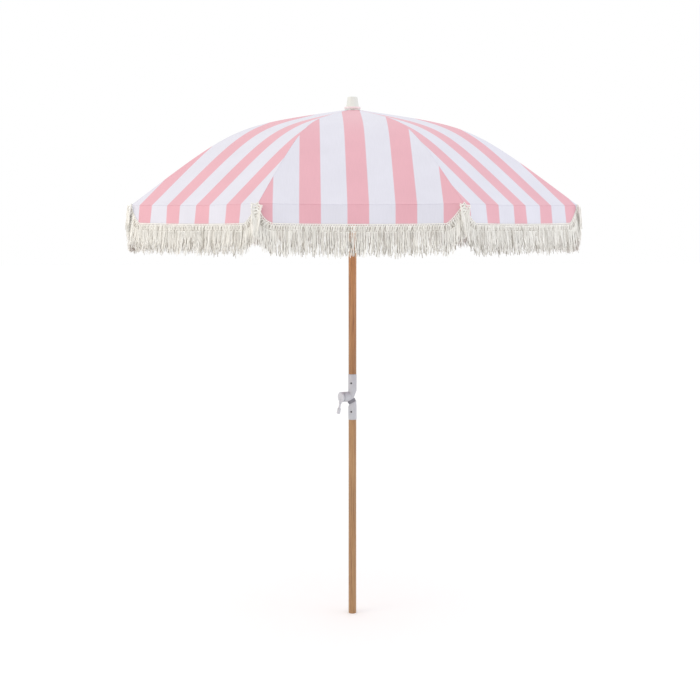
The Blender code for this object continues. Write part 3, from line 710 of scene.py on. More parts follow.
class Grower:
    """A Geometry Nodes tree with named inputs, which grows small repeated parts on a mesh."""

    KINDS = {float: "NodeSocketFloat", int: "NodeSocketInt"}

    def __init__(self, name: str, **sizes: float | int) -> None:
        """Start the tree.

        Args:
            name: The tree's name.
            **sizes: Named inputs and their values, a float or an int each.
        """
        self.tree = bpy.data.node_groups.new(name, "GeometryNodeTree")
        face = self.tree.interface
        face.new_socket("Geometry", in_out="OUTPUT", socket_type="NodeSocketGeometry")
        face.new_socket("Geometry", in_out="INPUT", socket_type="NodeSocketGeometry")
        face.new_socket("Finish", in_out="INPUT", socket_type="NodeSocketMaterial")
        self.ids: dict[str, str] = {}
        self.sizes = sizes
        for key, value in sizes.items():
            socket = face.new_socket(key, in_out="INPUT", socket_type=self.KINDS[type(value)])
            self.ids[key] = socket.identifier
        self.finish_id = next(
            item.identifier for item in face.items_tree if item.name == "Finish"
        )
        self.inputs = self.add("NodeGroupInput")

    def add(self, kind: str, inputs: dict[Any, Any] | None = None, **settings: Any) -> Any:
        """Add a node to this tree."""
        return add_node(self.tree, kind, inputs, **settings)

    def size(self, name: str) -> tuple[bpy.types.Node, str]:
        """A named input, as something that a node's input takes."""
        return (self.inputs, name)

    def spaced(self) -> tuple[bpy.types.Node, bpy.types.Node]:
        """Follow the base's lines, and set points on them one Pitch apart.

        Returns:
            The lines as curves, and the points.
        """
        curve = self.add("GeometryNodeMeshToCurve", {0: self.inputs})
        points = self.add(
            "GeometryNodeCurveToPoints", {0: curve, "Length": self.size("Pitch")}, mode="LENGTH"
        )
        return curve, points

    def turned(self) -> bpy.types.Node:
        """Turn parts by the base's fields, with Z along away and Y along outward.

        Returns:
            The rotation.
        """
        away, outward = (
            self.add("GeometryNodeInputNamedAttribute", {"Name": name}, data_type="FLOAT_VECTOR")
            for name in ("away", "outward")
        )
        return self.add(
            "FunctionNodeAxesToRotation", {"Primary Axis": away, "Secondary Axis": outward},
            primary_axis="Z", secondary_axis="Y",
        )

    def shaded(self, parts: Any, low: Any, high: Any, seed: Any) -> bpy.types.Node:
        """Draw a shade for each part, which its yarn or thread reads.

        Args:
            parts: The parts, as instances.
            low: The least shade, where 0 is the lightest.
            high: The greatest shade, where 1 is the darkest.
            seed: The seed of the draw.

        Returns:
            The parts, with their shades stored.
        """
        shade = self.add(
            "FunctionNodeRandomValue", {2: low, 3: high, "Seed": seed}, data_type="FLOAT"
        )
        return self.add(
            "GeometryNodeStoreNamedAttribute", {0: parts, "Name": "shade", "Value": (shade, 1)},
            data_type="FLOAT", domain="INSTANCE",
        )

    def close(self, geometry: Any) -> None:
        """End the tree in real geometry with its material.

        Args:
            geometry: What the tree has grown.
        """
        real = self.add("GeometryNodeRealizeInstances", {0: geometry})
        smooth = self.add("GeometryNodeSetShadeSmooth", {0: real})
        done = self.add("GeometryNodeSetMaterial", {0: smooth, 2: (self.inputs, "Finish")})
        self.add("NodeGroupOutput", {0: done})

    def grow(
        self, name: str, base: bpy.types.Mesh, finish: bpy.types.Material, **sizes: float | int
    ) -> bpy.types.Object:
        """Run the tree on a mesh and keep the result as a plain mesh.

        Args:
            name: The new piece's name.
            base: What the parts grow on.
            finish: The material that the tree sets.
            **sizes: Inputs that differ from the tree's own values.

        Returns:
            The piece, with no modifier left on it.
        """
        obj = link_object(name, base)
        modifier = obj.modifiers.new("grow", "NODES")
        modifier.node_group = self.tree
        modifier[self.finish_id] = finish
        for key, value in {**self.sizes, **sizes}.items():
            modifier[self.ids[key]] = value
        graph = bpy.context.evaluated_depsgraph_get()
        mesh = bpy.data.meshes.new_from_object(obj.evaluated_get(graph))
        obj.modifiers.clear()
        obj.data = mesh
        mesh.name = name
        return obj


def stitch_grower() -> Grower:
    """Thread stitches laid end to end along lines, each a short low bead.

    Returns:
        The tree.
    """
    grower = Grower("stitches", Pitch=4.8 * MM, Length=3.6 * MM, Thickness=0.8 * MM, Seed=3)
    points = grower.spaced()[1]
    turn = grower.add(
        "FunctionNodeAlignRotationToVector", {"Vector": (points, "Tangent")}, axis="X"
    )
    bead = grower.add("GeometryNodeMeshUVSphere", {0: 5, 1: 3, 2: 0.5})
    size = grower.add(
        "ShaderNodeCombineXYZ",
        {0: grower.size("Length"), 1: grower.size("Thickness"), 2: grower.size("Thickness")},
    )
    stitches = grower.add(
        "GeometryNodeInstanceOnPoints",
        {0: points, "Instance": (bead, 0), "Rotation": turn, "Scale": size},
    )
    grower.close(grower.shaded(stitches, 0.0, 1.0, grower.size("Seed")))
    return grower


def strand_grower() -> Grower:
    """Fringe strands hung along lines: ragged, wavy, and drawn together into loose clumps.

    Returns:
        The tree.
    """
    grower = Grower(
        "fringe_strands", Pitch=5.4 * MM, Length=78 * MM, Ragged=0.12, Radius=1.9 * MM,
        Flare=10 * MM, Clump=7 * MM, Wander=5 * MM, Start=20 * MM, Seed=11,
    )
    clumps = 42.0  # per metre, so they lie about 24 mm apart
    apart = 157.0  # sets the strands' own wander far apart in the noise
    waves = 4.2  # how far a strand runs through the noise as it hangs
    roots = grower.spaced()[1]
    line = grower.add("GeometryNodeCurvePrimitiveLine", {"End": (0.0, 0.0, -1.0)})
    line = grower.add("GeometryNodeResampleCurve", {0: line, "Count": 9}, mode="COUNT")
    least = grower.add("ShaderNodeMath", {0: 1.0, 1: grower.size("Ragged")},
                       operation="SUBTRACT")
    most = grower.add("ShaderNodeMath", {0: 1.0, 1: grower.size("Ragged")}, operation="ADD")
    share = grower.add(
        "FunctionNodeRandomValue", {2: least, 3: most, "Seed": grower.size("Seed")},
        data_type="FLOAT",
    )
    length = grower.add("ShaderNodeMath", {0: (share, 1), 1: grower.size("Length")},
                        operation="MULTIPLY")
    # strands behind the knotted head start at the cloth, and lie in the others' shade
    behind = grower.add("GeometryNodeInputNamedAttribute", {"Name": "behind"},
                        data_type="FLOAT")
    length = grower.add(
        "ShaderNodeMath", {0: behind, 1: grower.size("Start"), 2: length},
        operation="MULTIPLY_ADD",
    )
    # painted shade: strands take shades from 0 to 0.6 in front, and darker ones from 0.55 to 1 in
    # the hindmost layer
    palest = grower.add("ShaderNodeMath", {0: behind, 1: 0.55}, operation="MULTIPLY")
    darkest = grower.add("ShaderNodeMath", {0: behind, 1: 0.4, 2: 0.6},
                         operation="MULTIPLY_ADD")
    scale = grower.add("ShaderNodeCombineXYZ", {0: 1.0, 1: 1.0, 2: length})
    strands = grower.add(
        "GeometryNodeInstanceOnPoints", {0: roots, "Instance": line, "Scale": scale}
    )
    stored = grower.shaded(strands, palest, darkest, seed=5)
    where = grower.add("GeometryNodeInputPosition")
    stored = grower.add(
        "GeometryNodeStoreNamedAttribute", {0: stored, "Name": "root", "Value": where},
        data_type="FLOAT_VECTOR", domain="INSTANCE",
    )
    real = grower.add("GeometryNodeRealizeInstances", {0: stored})
    depth = grower.add("GeometryNodeSplineParameter")
    bend = grower.add("ShaderNodeMath", {0: depth, 1: 1.4}, operation="POWER")
    root = grower.add("GeometryNodeInputNamedAttribute", {"Name": "root"},
                      data_type="FLOAT_VECTOR")
    strand = grower.add("GeometryNodeInputNamedAttribute", {"Name": "shade"},
                        data_type="FLOAT")
    outward = grower.add("GeometryNodeInputNamedAttribute", {"Name": "outward"},
                         data_type="FLOAT_VECTOR")
    # clumps: neighbours share a slow sideways drift, so they close up and leave gaps. Noise
    # keeps within about a quarter of its middle value, so it is raised by 4, and then by 3
    drift = grower.add("ShaderNodeTexNoise", {0: root, "Scale": clumps, "Detail": 2.0})
    drift = grower.add("ShaderNodeVectorMath", {0: (drift, "Color"), 1: (0.5, 0.5, 0.5)},
                       operation="SUBTRACT")
    reach = grower.add("ShaderNodeMath", {0: bend, 1: grower.size("Clump")},
                       operation="MULTIPLY")
    reach = grower.add("ShaderNodeMath", {0: reach, 1: 4.0}, operation="MULTIPLY")
    clumped = grower.add("ShaderNodeVectorMath", {0: drift, "Scale": reach},
                         operation="SCALE")
    # each strand also wanders on its own as it hangs
    own = grower.add("ShaderNodeMath", {0: strand, 1: apart}, operation="MULTIPLY")
    down = grower.add("ShaderNodeMath", {0: depth, 1: waves}, operation="MULTIPLY")
    spot = grower.add("ShaderNodeCombineXYZ", {0: own, 1: down, 2: own})
    stray = grower.add("ShaderNodeTexNoise", {0: spot, "Scale": 1.0, "Detail": 1.0})
    stray = grower.add("ShaderNodeVectorMath", {0: (stray, "Color"), 1: (0.5, 0.5, 0.5)},
                       operation="SUBTRACT")
    loose = grower.add("ShaderNodeMath", {0: depth, 1: grower.size("Wander")},
                       operation="MULTIPLY")
    loose = grower.add("ShaderNodeMath", {0: loose, 1: 3.0}, operation="MULTIPLY")
    strayed = grower.add("ShaderNodeVectorMath", {0: stray, "Scale": loose},
                         operation="SCALE")
    lean = grower.add("ShaderNodeMath", {0: depth, 1: grower.size("Flare")},
                      operation="MULTIPLY")
    leaned = grower.add("ShaderNodeVectorMath", {0: outward, "Scale": lean},
                        operation="SCALE")
    total = grower.add("ShaderNodeVectorMath", {0: clumped, 1: strayed}, operation="ADD")
    total = grower.add("ShaderNodeVectorMath", {0: total, 1: leaned}, operation="ADD")
    moved = grower.add("GeometryNodeSetPosition", {0: real, "Offset": total})
    ring = grower.add("GeometryNodeCurvePrimitiveCircle",
                      {0: 4, "Radius": grower.size("Radius")}, mode="RADIUS")
    taper = grower.add("ShaderNodeMapRange", {0: depth, 1: 0.55, 2: 1.0, 3: 1.0, 4: 0.55})
    tubes = grower.add(
        "GeometryNodeCurveToMesh", {0: moved, 1: ring, "Scale": taper, "Fill Caps": True}
    )
    grower.close(tubes)
    return grower


def lattice_grower() -> Grower:
    """The fringe's knotted head: crossed yarns with a knot at each crossing, along a line.

    Returns:
        The tree.
    """
    grower = Grower("fringe_head", Pitch=8.2 * MM, Depth=26 * MM, Radius=1.5 * MM, Seed=7)
    crossing = 0.62  # how far a yarn reaches to each side, in pitches
    lift = 0.5 * MM  # one yarn passes this far over the middle, and the other under it
    knots = ((0.25, 1.4), (0.5, 1.6), (0.75, 1.4), (1.0, 1.7))  # share of depth, yarn radii
    curve, points = grower.spaced()
    turn = grower.turned()
    ring = grower.add("GeometryNodeCurvePrimitiveCircle",
                      {0: 4, "Radius": grower.size("Radius")}, mode="RADIUS")
    half = grower.add("ShaderNodeMath", {0: grower.size("Pitch"), 1: crossing},
                      operation="MULTIPLY")
    back = grower.add("ShaderNodeMath", {0: half, 1: -1.0}, operation="MULTIPLY")
    parts = grower.add("GeometryNodeJoinGeometry")
    for start, end, rise in ((half, back, lift), (back, half, -lift)):
        top = grower.add("ShaderNodeCombineXYZ", {0: start, 1: rise, 2: 0.0})
        low = grower.add("ShaderNodeCombineXYZ", {0: end, 1: rise, 2: grower.size("Depth")})
        yarn = grower.add("GeometryNodeCurvePrimitiveLine", {"Start": top, "End": low})
        tube = grower.add("GeometryNodeCurveToMesh", {0: yarn, 1: ring, "Fill Caps": True})
        grower.tree.links.new(tube.outputs[0], parts.inputs[0])
    knot = grower.add("GeometryNodeMeshUVSphere", {0: 6, 1: 4, 2: 1.0})
    for share, swell in knots:
        drop = grower.add("ShaderNodeMath", {0: grower.size("Depth"), 1: share},
                          operation="MULTIPLY")
        wide = grower.add("ShaderNodeMath", {0: grower.size("Radius"), 1: swell},
                          operation="MULTIPLY")
        at = grower.add("ShaderNodeCombineXYZ", {2: drop})
        size = grower.add("ShaderNodeCombineXYZ", {0: wide, 1: wide, 2: wide})
        ball = grower.add("GeometryNodeTransform",
                          {0: knot, "Translation": at, "Scale": size})
        grower.tree.links.new(ball.outputs[0], parts.inputs[0])
    heads = grower.add(
        "GeometryNodeInstanceOnPoints", {0: points, "Instance": parts, "Rotation": turn}
    )
    stored = grower.shaded(heads, 0.0, 0.5, grower.size("Seed"))
    # a thicker cord binds the head's top edge to the cloth
    cord = grower.add("GeometryNodeResampleCurve", {0: curve, "Length": 6 * MM},
                      mode="LENGTH")
    thick = grower.add("GeometryNodeCurvePrimitiveCircle", {0: 6, "Radius": 1.7 * MM},
                       mode="RADIUS")
    cord = grower.add("GeometryNodeCurveToMesh", {0: cord, 1: thick, "Fill Caps": True})
    cord = grower.add(
        "GeometryNodeStoreNamedAttribute", {0: cord, "Name": "shade", "Value": 0.4},
        data_type="FLOAT", domain="POINT",
    )
    both = grower.add("GeometryNodeJoinGeometry", {0: stored})
    grower.tree.links.new(cord.outputs[0], both.inputs[0])
    grower.close(both)
    return grower


def tooth_grower() -> Grower:
    """Upright ribs round a moulded ring, one on each point of a circle.

    Returns:
        The tree.
    """
    grower = Grower("ring_teeth", Height=10.4 * MM, Width=1.15 * MM, Depth=1.6 * MM)
    turn = grower.turned()
    tooth = grower.add("GeometryNodeMeshUVSphere", {0: 8, 1: 5, 2: 0.5})
    size = grower.add(
        "ShaderNodeCombineXYZ",
        {0: grower.size("Width"), 1: grower.size("Height"), 2: grower.size("Depth")},
    )
    points = grower.add("GeometryNodeMeshToPoints", {0: grower.inputs})
    teeth = grower.add(
        "GeometryNodeInstanceOnPoints",
        {0: points, "Instance": (tooth, 0), "Rotation": turn, "Scale": size},
    )
    grower.close(teeth)
    return grower


# ---- sub-assemblies ----


@dataclass
class Roof:
    """The eight roof panels, each cut down its middle so that both halves follow a rib."""

    canvas: bpy.types.Material
    thread: bpy.types.Material
    stitches: Grower
    thickness: float = 1.1 * MM
    stations: int = 46
    columns: int = 12
    seam_row: float = 4.5 * MM  # stitches this far from the rib
    eave_row: float = 7 * MM  # and this far above the eave
    seam_from: int = 3  # the stations before this one lie under the finial
    hem_points: int = 24
    still: float = 6 * MM  # the cloth this near to the rib does not fold
    bend_at: float = 0.5  # how far out the ends of the bend are worked out
    cover: float = 0.56  # the share of its bounding rectangle that a half panel fills

    def radii(self) -> np.ndarray:
        """Distances from the pole at which the panel has points."""
        return np.linspace(FORM.hole, FORM.radius, self.stations)

    def surface(self, radius: np.ndarray, along: np.ndarray) -> np.ndarray:
        """Height of the cloth, with its sag and the felled seam by the rib.

        Args:
            radius: Distances from the pole along the rib.
            along: Distances from the rib along the chord, one for each radius.

        Returns:
            The heights.
        """
        half = radius * FORM.sin
        share = np.clip(along / half, 0, 1)
        near = np.clip(1 - along / np.minimum(FORM.seam_half, 0.5 * half), 0, 1)
        lip = FORM.seam_height * near * near * (3 - 2 * near)
        return FORM.height(radius) - FORM.sunk(radius, share) + lip

    def fan(self, rib: int, side: Side, mesh: bpy.types.Mesh) -> np.ndarray:
        """How far each point follows the folding panel: 0 by the rib, 1 on the middle line.

        Args:
            rib: Which rib.
            side: Which side of it.
            mesh: The mesh whose points are asked about.

        Returns:
            One number for each point.
        """
        points = np.zeros(len(mesh.vertices) * 3, np.float32)
        mesh.vertices.foreach_get("co", points)
        local = points.reshape(-1, 3) @ np.array(FORM.rib_turn(rib).to_3x3())
        along = side.value * local[:, 1] / FORM.cos
        half = (local[:, 0] + along * FORM.sin) * FORM.sin
        still = np.minimum(self.still, 0.2 * half)
        return np.clip((along - still) / (half - still), 0, 1)

    def bind(self, obj: bpy.types.Object, rib: int, side: Side) -> None:
        """Bake a piece's place into its mesh, and work out how far each point follows the folding
        panel.

        Args:
            obj: The piece.
            rib: Which rib it starts at.
            side: Which side of that rib.
        """
        out = self.bend_at
        near = FORM.place(rib, side, out, 0.0, FORM.height(out))[0]
        far = FORM.place(rib, side, out, out * FORM.sin, FORM.height(out))[0]
        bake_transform(obj)
        weights = self.fan(rib, side, obj.data).astype(np.float32)

    def build_half(self, rib: int, side: Side) -> None:
        """Make one half panel and its stitches.

        Args:
            rib: Which rib it is sewn over.
            side: Which side of that rib.
        """
        radii = self.radii()
        points, uv = [], []
        length = np.concatenate([[0], np.cumsum(np.hypot(
            np.diff(radii), np.diff(FORM.height(radii))))])
        for radius, run in zip(radii, length):
            half = radius * FORM.sin
            near = min(FORM.seam_half, 0.3 * half)
            along = np.concatenate([
                np.linspace(0, near, 4)[:-1], np.linspace(near, half, self.columns - 3)])
            z = self.surface(np.full_like(along, radius), along)
            points.append(FORM.place(rib, side, radius, along, z))
            across = pattern_coordinate(rib, side, radius, along)
            uv.append(np.stack([across, np.full_like(along, run)], axis=1))
        name = f"roof_{rib}_{side.label}"
        mesh = cloth_mesh(
            name, np.concatenate(points), self.stations, self.columns, np.concatenate(uv),
            flip=side is Side.LEFT,
        )
        cloth = link_object(name, mesh)
        thicken(cloth, self.thickness)
        cloth.data.materials.append(self.canvas)
        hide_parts(f"half_gore_{rib}_{side.label}")
        self.bind(cloth, rib, side)

        seam_radii = radii[self.seam_from :]
        seam = FORM.place(rib, side, seam_radii, self.seam_row,
                          self.surface(seam_radii, np.full_like(seam_radii, self.seam_row)))
        inset = FORM.radius - self.eave_row
        shares = np.linspace(0.01, 0.995, self.hem_points)
        along = shares * inset * FORM.sin
        hem = FORM.place(rib, side, inset, along,
                         self.surface(np.full_like(along, inset), along))
        base = polyline_mesh(name + "_stitch_lines", [seam, hem], {})
        stitched = self.stitches.grow(f"roof_stitches_{rib}_{side.label}", base, self.thread)
        self.bind(stitched, rib, side)

    def build(self) -> None:
        """Make all sixteen half panels."""
        for rib in range(1, RIB_COUNT + 1):
            for side in Side:
                self.build_half(rib, side)
        LOG.info("roof: %d half panels", 2 * RIB_COUNT)


LEAST_KEEP = 0.02  # a wing never gathers to less than this share of its width


@dataclass(frozen=True)
class Fold:
    axis: Vector
    anchor: Vector
    keep: float

    @classmethod
    def of(cls, rib: int, side: Side) -> "Fold":
        """Work out the gathering that keeps a wing's far end on its roof panel.

        Args:
            rib: Which rib the wing hangs at.
            side: Which side of it.

        Returns:
            The fold.
        """
        hang = JOINTS[f"valance_{rib}_hang"]
        turn = JOINTS[f"half_gore_{rib}_{side.label}_fold"]
        anchor = Vector(hang["pos_m"])
        half = FORM.radius * FORM.sin
        middle = Vector(FORM.place(rib, side, FORM.radius, half, FORM.eave(1.0))[0])
        pivot = Vector(turn["pos_m"])
        spin = Matrix.Rotation(math.radians(turn["range_deg"][1]), 3, Vector(turn["axis"]))
        folded = pivot + spin @ (middle - pivot)
        upright = Matrix.Rotation(-math.radians(hang["range_deg"][1]), 3,
                                  Vector(hang["axis"]))
        folded = anchor + upright @ (folded - anchor)
        move = middle - folded
        axis = move.normalized()
        keep = 1 - move.length / (middle - anchor).dot(axis)
        return cls(axis, anchor, max(LEAST_KEEP, min(1.0, keep)))


@dataclass
class Valance:
    """The hanging edge of the canopy: one wing each side of every rib tip, with its fringe."""

    canvas: bpy.types.Material
    thread: bpy.types.Material
    yarn: bpy.types.Material
    stitches: Grower
    strands: Grower
    lattice: Grower
    drop: float = 0.068
    least: float = 0.6 * MM  # what still hangs at the very tip of the rib
    corner: float = 0.058
    thickness: float = 1.1 * MM
    flare: float = 8 * MM
    ripple: float = 2.2 * MM
    waves: float = 1.5  # ripples along one wing
    calm: float = 0.05  # the ripple fades out this near the rib tip
    rows: int = 7
    map_start: float = 1.1  # the wing's place on the cloth map, past the roof's
    hem: float = 6 * MM
    proud: float = 1.4 * MM  # the fringe stands this far in front of the cloth
    head: float = 25 * MM
    lap: float = 3 * MM  # the knotted head starts this far up on the cloth
    overlap: float = 4 * MM  # the front strands start this far up inside the head
    front: float = 1.6 * MM  # the front strands hang this far before the head
    middle: float = 1.0 * MM  # and the other two layers this far behind it
    back: float = 3.4 * MM
    behind: tuple[float, float, float] = (0.0, 0.7, 1.0)  # each layer's depth behind the head: its strands start higher up and are painted darker, as painted shade
    seed: int = 11

    def runs(self) -> np.ndarray:
        """Choose where along the eave the wing has points, closer where its corner is round.

        Returns:
            Distances from the rib tip.
        """
        turn = np.linspace(0, math.pi / 2, 11)
        round_part = self.corner * (1 - np.cos(turn))
        straight = np.linspace(self.corner, FORM.radius * FORM.sin, 22)[1:]
        return np.concatenate([round_part, straight])

    def depth(self, rib: int, side: Side, run: np.ndarray) -> np.ndarray:
        """How far the wing hangs: its corner is rounded, or cut nearly straight across.

        Args:
            rib: Which rib.
            side: Which side of it.
            run: Distances from the tip along the eave.

        Returns:
            Depths below the eave.
        """
        power = CORNER_ROUND.get((rib, side), CORNER_ROUND[side])
        inside = np.clip(1 - run / self.corner, 0, 1)
        return self.drop * np.maximum(1 - inside**power, 0) ** (1 / power)

    def hang(self, rib: int, side: Side, run: np.ndarray, down: np.ndarray,
             proud: float = 0.0) -> np.ndarray:
        """World points on the wing.

        Args:
            rib: Which rib.
            side: Which side of it.
            run: Distances from the tip along the eave.
            down: Distances below the eave.
            proud: How far in front of the cloth.

        Returns:
            An array of points.
        """
        half = FORM.radius * FORM.sin
        points = FORM.place(rib, side, FORM.radius, run, FORM.eave(run / half) - down)
        level = np.clip(down / self.drop, 0, 1.6)
        toward = math.tau * (half - run) / (half / self.waves)
        wave = self.ripple * np.cos(toward) * level ** 1.5
        out = proud + self.flare * level + wave * np.clip(run / self.calm, 0, 1)
        outward = np.array(FORM.outward(rib, side))
        return points + np.asarray(out)[:, None] * outward

    def build_wing(self, rib: int, side: Side) -> None:
        """Make one wing, its hem stitches, and its fringe.

        Args:
            rib: Which rib it hangs at.
            side: Which side of that rib.
        """
        fold = Fold.of(rib, side)
        body = f"valance_{rib}"
        tag = f"{rib}_{side.label}"
        runs = self.runs()
        depths = np.maximum(self.depth(rib, side, runs), self.least)
        points, uv = [], []
        for share in np.linspace(0, 1, self.rows):
            points.append(self.hang(rib, side, runs, depths * share))
            across = pattern_coordinate(rib, side, FORM.radius, runs)
            uv.append(np.stack([across, self.map_start + depths * share], axis=1))
        mesh = cloth_mesh(
            f"valance_{tag}", np.concatenate(points), self.rows, len(runs),
            np.concatenate(uv), flip=side is Side.LEFT,
        )
        cloth = link_object(f"valance_{tag}_cloth", mesh)
        thicken(cloth, self.thickness)
        dress(cloth, self.canvas, body)
        if side is Side.LEFT:
            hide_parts(body)

        edge = self.hang(rib, side, runs, depths, proud=self.proud)
        tangent = np.gradient(edge, axis=0)
        tangent /= np.linalg.norm(tangent, axis=1)[:, None]
        outward = np.array(FORM.outward(rib, side))
        # away from the cloth, square to its edge, and never upwards
        away = np.cross(tangent, outward) * side.value
        away *= np.where(away[:, 2:3] > 0.02, -1, 1)
        away /= np.linalg.norm(away, axis=1)[:, None]
        fields = {"outward": [np.tile(outward, (len(runs), 1))], "away": [away]}
        base = polyline_mesh(f"head_line_{tag}", [edge - away * self.lap], fields)
        head = self.lattice.grow(f"fringe_head_{tag}", base, self.yarn)
        roots = edge + away * (self.head - self.overlap)
        hidden = edge + away * MM
        lines = [roots + outward * self.front, hidden - outward * self.middle,
                 hidden - outward * self.back]
        every = {key: value * len(lines) for key, value in fields.items()}
        base = polyline_mesh(f"strand_lines_{tag}", lines, every, {"behind": self.behind})
        strands = self.strands.grow(
            f"fringe_{tag}", base, self.yarn, Seed=self.seed + 2 * rib + (side is Side.LEFT)
        )
        inside = edge - away * self.hem
        base = polyline_mesh(f"hem_line_{tag}", [inside[3:]], {})
        hem = self.stitches.grow(f"hem_stitches_{tag}", base, self.thread)
        for piece, material, slot in (
            (head, self.yarn, "fringe"), (strands, self.yarn, "fringe"),
            (hem, self.thread, "striped_canvas"),
        ):
            dress(piece, material, body)
        for piece in (cloth, head, strands, hem):
            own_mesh(piece)

    def build(self) -> None:
        """Make all sixteen wings."""
        for rib in range(1, RIB_COUNT + 1):
            for side in Side:
                self.build_wing(rib, side)
        LOG.info("valance: %d fringed wings", 2 * RIB_COUNT)


@dataclass
class Hardware:
    """The hard parts: the frame's own solids, smoothed, with broken edges and finishes."""

    finishes: dict[str, bpy.types.Material]
    edge: float = 0.35 * MM
    weld: float = 2e-6  # points nearer than this are one
    flat: float = math.radians(0.6)  # faces that turn less than this are one
    crisp: float = math.radians(50)  # edges sharper than this are broken

    def refine(self, node: str, finish: str, edge: float | None = None) -> None:
        """Replace a solid by a smooth-shaded copy with rounded edges.

        Args:
            node: The CAD node.
            finish: Which finish it takes.
            edge: The width of its rounded edges, 0 for none, or None for the usual width.
        """
        source = frame["nodes"][node]
        mesh = source.data.copy()
        mesh.name = f"{node}_skin"
        work = bmesh.new()
        work.from_mesh(mesh)
        bmesh.ops.remove_doubles(work, verts=work.verts, dist=self.weld)
        bmesh.ops.dissolve_limit(
            work, angle_limit=self.flat, verts=work.verts, edges=work.edges
        )
        work.to_mesh(mesh)
        work.free()
        set_smooth(mesh)
        body = source["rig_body"]
        obj = link_object(f"{node}_skin", mesh)
        width = self.edge if edge is None else edge
        if width:
            bevel = obj.modifiers.new("broken_edges", "BEVEL")
            bevel.width = width
            bevel.segments = 2
            bevel.limit_method = "ANGLE"
            bevel.angle_limit = self.crisp
        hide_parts(node)
        dress(obj, self.finishes[finish], body)

    def build(self) -> None:
        """Dress every hard part of the parasol."""
        plan = [
            ("lower_pole", "ash_lower", "pole_wood", 0.8 * MM),
            ("upper_pole", "ash_upper", "pole_wood", 0.8 * MM),
            ("lower_knuckle", "powder", "white_casting", 0.6 * MM),
            ("upper_knuckle", "powder", "white_casting", 0.6 * MM),
            ("clutch_ring", "nylon", "dark_nylon", None),
            ("lower_screw", "black", "black_screw", None),
            ("upper_screw", "black", "black_screw", None),
            ("swivel_pin", "zinc", "steel", None),
            ("clamp_washer", "nylon", "dark_nylon", None),
            ("clamp_bolt", "zinc", "steel", None),
            ("clamp_knob", "abs_grey", "white_plastic", None),
            ("lever_arm", "abs_grey", "white_plastic", None),
            ("lever_grip", "abs_grey", "white_plastic", None),
            ("crown", "abs", "white_plastic", None),
            ("finial", "abs", "white_plastic", None),
            ("runner", "abs", "white_plastic", None),
            ("runner_thumbscrew", "abs_grey", "white_plastic", None),
            ("crown_wire", "zinc", "steel", 0.0),
            ("runner_wire", "zinc", "steel", 0.0),
        ]
        for index in range(1, RIB_COUNT + 1):
            plan.append((f"rib_{index}", "enamel", "rib_enamel", 0.2 * MM))
            plan.append((f"stretcher_{index}", "enamel", "rib_enamel", 0.2 * MM))
        for node, finish, slot, edge in plan:
            self.refine(node, finish, edge)
        LOG.info("hardware: %d parts", len(plan))


@dataclass
class ClutchTeeth:
    """The moulded ribs round the friction ring of the tilt joint."""

    nylon: bpy.types.Material
    teeth: Grower
    centre: tuple[float, float, float] = (-0.0035, 0.0, 0.8865)
    radius: float = 15.75 * MM
    count: int = 44

    def build(self) -> None:
        """Set the teeth round the ring, square to the swivel's axis."""
        axis = Vector(JOINTS["tilt_swivel"]["axis"]).normalized()
        first = axis.orthogonal().normalized()
        points, away = [], []
        for index in range(self.count):
            turn = Matrix.Rotation(math.tau * index / self.count, 3, axis)
            spoke = turn @ first
            points.append(Vector(self.centre) + spoke * self.radius)
            away.append(spoke)
        fields = {
            "outward": [np.tile(np.array(axis), (self.count, 1))],
            "away": [np.array(away)],
        }
        base = polyline_mesh("ring_points", [np.array(points)], fields)
        ring = self.teeth.grow("clutch_ring_teeth", base, self.nylon)
        dress(ring, self.nylon, "lower")
        LOG.info("clutch ring: %d teeth", self.count)


@dataclass
class FinialWasher:
    """The soft pale washer between the finial and the cloth."""

    finish: bpy.types.Material
    inner: float = 0.0262
    outer: float = 0.0325
    low: float = 2.0572
    thick: float = 8.6 * MM
    steps: int = 64
    corners: int = 20  # points round its section
    boxy: float = 0.45  # how square the section is: 1 is round, 0 a box

    def build(self) -> None:
        """Turn the washer's rounded section about the pole's axis."""
        middle, half = (self.inner + self.outer) / 2, (self.outer - self.inner) / 2
        section = []
        for turn in np.linspace(0, math.tau, self.corners, endpoint=False):
            across, up = math.cos(turn), math.sin(turn)
            soften = abs(across) ** self.boxy * math.copysign(1, across)
            rise = abs(up) ** self.boxy * math.copysign(1, up)
            section.append((middle + half * soften, self.low + self.thick * (0.5 + rise / 2)))
        points, faces = [], []
        for step in range(self.steps):
            turn = math.tau * step / self.steps
            points += [(r * math.cos(turn), r * math.sin(turn), z) for r, z in section]
        count = len(section)
        for step in range(self.steps):
            for index in range(count):
                here, there = step * count, (step + 1) % self.steps * count
                after = (index + 1) % count
                faces.append((here + index, there + index, there + after, here + after))
        mesh = bpy.data.meshes.new("finial_washer")
        mesh.from_pydata(points, [], faces)
        set_smooth(mesh)
        dress(link_object("finial_washer", mesh), self.finish, "upper")
        LOG.info("finial washer")


@dataclass(frozen=True)
class Lamp:
    """A soft square light that faces the canopy."""

    name: str
    at: tuple[float, float, float]
    size: float
    power: float  # watts
    colour: str

    def build(self, aim: Vector) -> None:
        """Hang the light.

        Args:
            aim: The point that it faces.
        """
        data = bpy.data.lights.new(self.name, "AREA")
        data.shape = "SQUARE"
        data.size = self.size
        data.energy = self.power
        data.color = linear(self.colour)[:3]
        lamp = bpy.data.objects.new(self.name, data)
        lamp.location = self.at
        turn = (aim - Vector(self.at)).to_track_quat("-Z", "Y")
        lamp.rotation_euler = turn.to_euler()
        bpy.context.scene.collection.objects.link(lamp)


LAMPS = (
    Lamp("key_left", (-4.6, -2.2, 3.0), 2.4, 52.0, "FFEFD8"),
    Lamp("fill_right", (4.8, -1.2, 2.4), 3.0, 32.0, "FAF8FF"),
    Lamp("top", (0.3, -0.6, 5.2), 3.5, 14.0, "FFFFFF"),
)


